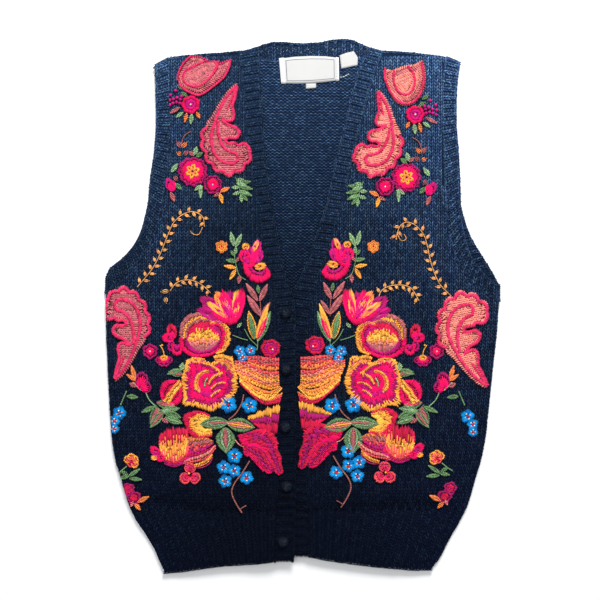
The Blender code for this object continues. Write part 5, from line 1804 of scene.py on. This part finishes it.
finishes["satin"] = satinMaterial("labelSatin", (0.50, 0.495, 0.485), False)
finishes["framedSatin"] = satinMaterial("labelSatinFramed", (0.50, 0.495, 0.485), True)
finishes["foldSatin"] = satinMaterial("labelFoldSatin", (0.66, 0.66, 0.655), False)


def labelSpot(name, u, w, wave):
    # place over a label, u across and w up, gently waved
    table = np.array(labels[name], float)
    shares = np.linspace(0, 1, len(table))
    xLow, low, xHigh, high = (np.interp(u, shares, table[:, k]) for k in range(4))
    z = labels["seat"] + wave * math.sin(2.4 * u * math.pi + 1.0) * (0.3 + 0.7 * w)
    return xLow * (1 - w) + xHigh * w, low * (1 - w) + high * w, z


def labelPiece(name, label, material, replaced=(), reach=(0.0, 1.0, 0.0, 1.0), lift=0.0,
               wave=0.3, columns=24, rows=10):
    bm = bmesh.new()
    bm.loops.layers.uv.new("UVMap")
    bmesh.ops.create_grid(bm, x_segments=columns, y_segments=rows, size=0.5, calc_uvs=True)
    for v in bm.verts:
        u = reach[0] + (v.co.x + 0.5) * (reach[1] - reach[0])
        w = reach[2] + (v.co.y + 0.5) * (reach[3] - reach[2])
        x, height, z = labelSpot(label, u, w, wave)
        v.co = toMetres(x, height, z + lift)
    bm.normal_update()
    bmesh.ops.solidify(bm, geom=bm.faces, thickness=labels["thickness"] * 0.001)
    bmesh.ops.recalc_face_normals(bm, faces=bm.faces)
    piece = pieceFromBmesh(name, bm)
    bm.free()
    return finishPiece(piece, material, replaced)


neckLabel = labelPiece("satin_neck_label", "neck_label", finishes["framedSatin"],
                       ("neck_label",))
careLabel = labelPiece("satin_care_label", "care_label", finishes["satin"], ("care_label",),
                       wave=0.15, columns=12, rows=8)
sizeLabel = labelPiece("satin_size_label", "size_label", finishes["satin"], ("size_label",),
                       wave=0.0, columns=6, rows=4)
folds = [labelPiece("label_fold_" + hand, "neck_label", finishes["foldSatin"], (), reach,
                    lift=0.34, columns=4, rows=10)
         for hand, reach in (("right", (-0.006, 0.080, -0.02, 1.02)),
                             ("left", (0.945, 1.010, -0.02, 1.02)))]


def labelThreads():
    # what sews the labels on, with one loose end beside the neck label
    rows = []

    def tack(x0, height0, x1, height1, width, lift, arch=0.25):
        rows.append((x0, height0, x1, height1, width, lift, arch, 0.0, *wool["cotton"],
                     *wool["cotton"]))

    for u in (0.03, 0.965):
        for w in np.linspace(0.06, 0.94, 8):
            x, height, _ = labelSpot("neck_label", u, w, 0.0)
            tack(x - 0.9, height - 0.5, x + 0.9, height + 0.5, 0.42, 1.0)
    for u in np.linspace(0.1, 0.9, 6):
        x, height, _ = labelSpot("care_label", u, 0.95, 0.0)
        tack(x - 0.8, height, x + 0.8, height + 0.3, 0.42, 0.7)
    end = np.array(((43.6, 580.6), (46.4, 580.3), (49.6, 581.4), (52.4, 583.2), (54.6, 584.2)))
    for first, second in zip(end, end[1:]):
        tack(*first, *(second + (second - first) * 0.12), 1.15, 0.7, 0.1)
    return np.array(rows)


labelStitches = joinedPiece("label_thread", [threadCopies("back", labelThreads(), "shortThread")],
                            finishes["wool"])

# ---- floor, light and camera

view = {
    "center": (-2.9, 6.4),     # middle of the picture, on the garment, mm
    "width": 702.0,            # what the picture takes in at the garment's height, mm
    "lens": 50.0,
    "surface": 5.0,            # height of the cloth that the width is measured at
}


def floorPiece():
    bm = bmesh.new()
    bmesh.ops.create_grid(bm, x_segments=2, y_segments=2, size=4.0)
    floor = pieceFromBmesh("floor", bm)
    bm.free()
    finish = Finish("paleFloor", 0.6, specular=0.2)
    spot = finish.place()
    finish.set(Base_Color=finish.mixed(finish.noise(spot, 0.01), (0.80, 0.805, 0.81, 1),
                                       (0.82, 0.825, 0.83, 1)))
    floor.data.materials.append(finish.material)
    return floor


def softLight(name, place, size, power, color=(1, 1, 1)):
    light = bpy.data.lights.new(name, "AREA")
    light.shape, light.size, light.energy, light.color = "DISK", size, power, color
    lamp = bpy.data.objects.new(name, light)
    bpy.context.scene.collection.objects.link(lamp)
    lamp.location = place
    lamp.rotation_euler = (-Vector(place)).to_track_quat("-Z", "Y").to_euler()
    return lamp


floorPiece()
softLight("window", (0.35, 1.9, 1.5), 0.9, 78)
softLight("ceiling", (-0.5, 0.3, 2.4), 2.0, 22)
world = bpy.data.worlds.new("studio")
bpy.context.scene.world = world
world.use_nodes = True
world.node_tree.nodes["Background"].inputs["Color"].default_value = (0.95, 0.97, 1.0, 1)
world.node_tree.nodes["Background"].inputs["Strength"].default_value = 0.45
bpy.context.scene.view_settings.view_transform = "Standard"

camera = bpy.data.objects.new("camera", bpy.data.cameras.new("camera"))
bpy.context.scene.collection.objects.link(camera)
camera.data.lens = view["lens"]
camera.data.sensor_width = 36.0
distance = view["width"] * view["lens"] / 36.0 + view["surface"]
camera.location = (view["center"][0] * 0.001, view["center"][1] * 0.001, distance * 0.001)
camera.data.clip_start, camera.data.clip_end = 0.05, 20
bpy.context.scene.camera = camera

# ---- cut sizes of the cloth

# cut size of each cloth piece in millimetres and its flat area in square centimetres
cuts = {
    "back_panel": (460, 532, 2054), "front_right": (203, 535, 808), "front_left": (226, 535, 865),
    "hem_rib_back": (394, 75, 227), "hem_rib_front_right": (172, 76, 103),
    "hem_rib_front_left": (186, 72, 110), "neck_band": (20, 172, 31.4),
    "front_band_right": (21.5, 612, 110.1), "front_band_left": (27.5, 618, 133.8),
    "armhole_band_right": (18, 640, 88.2), "armhole_band_left": (18, 640, 89.9),
}
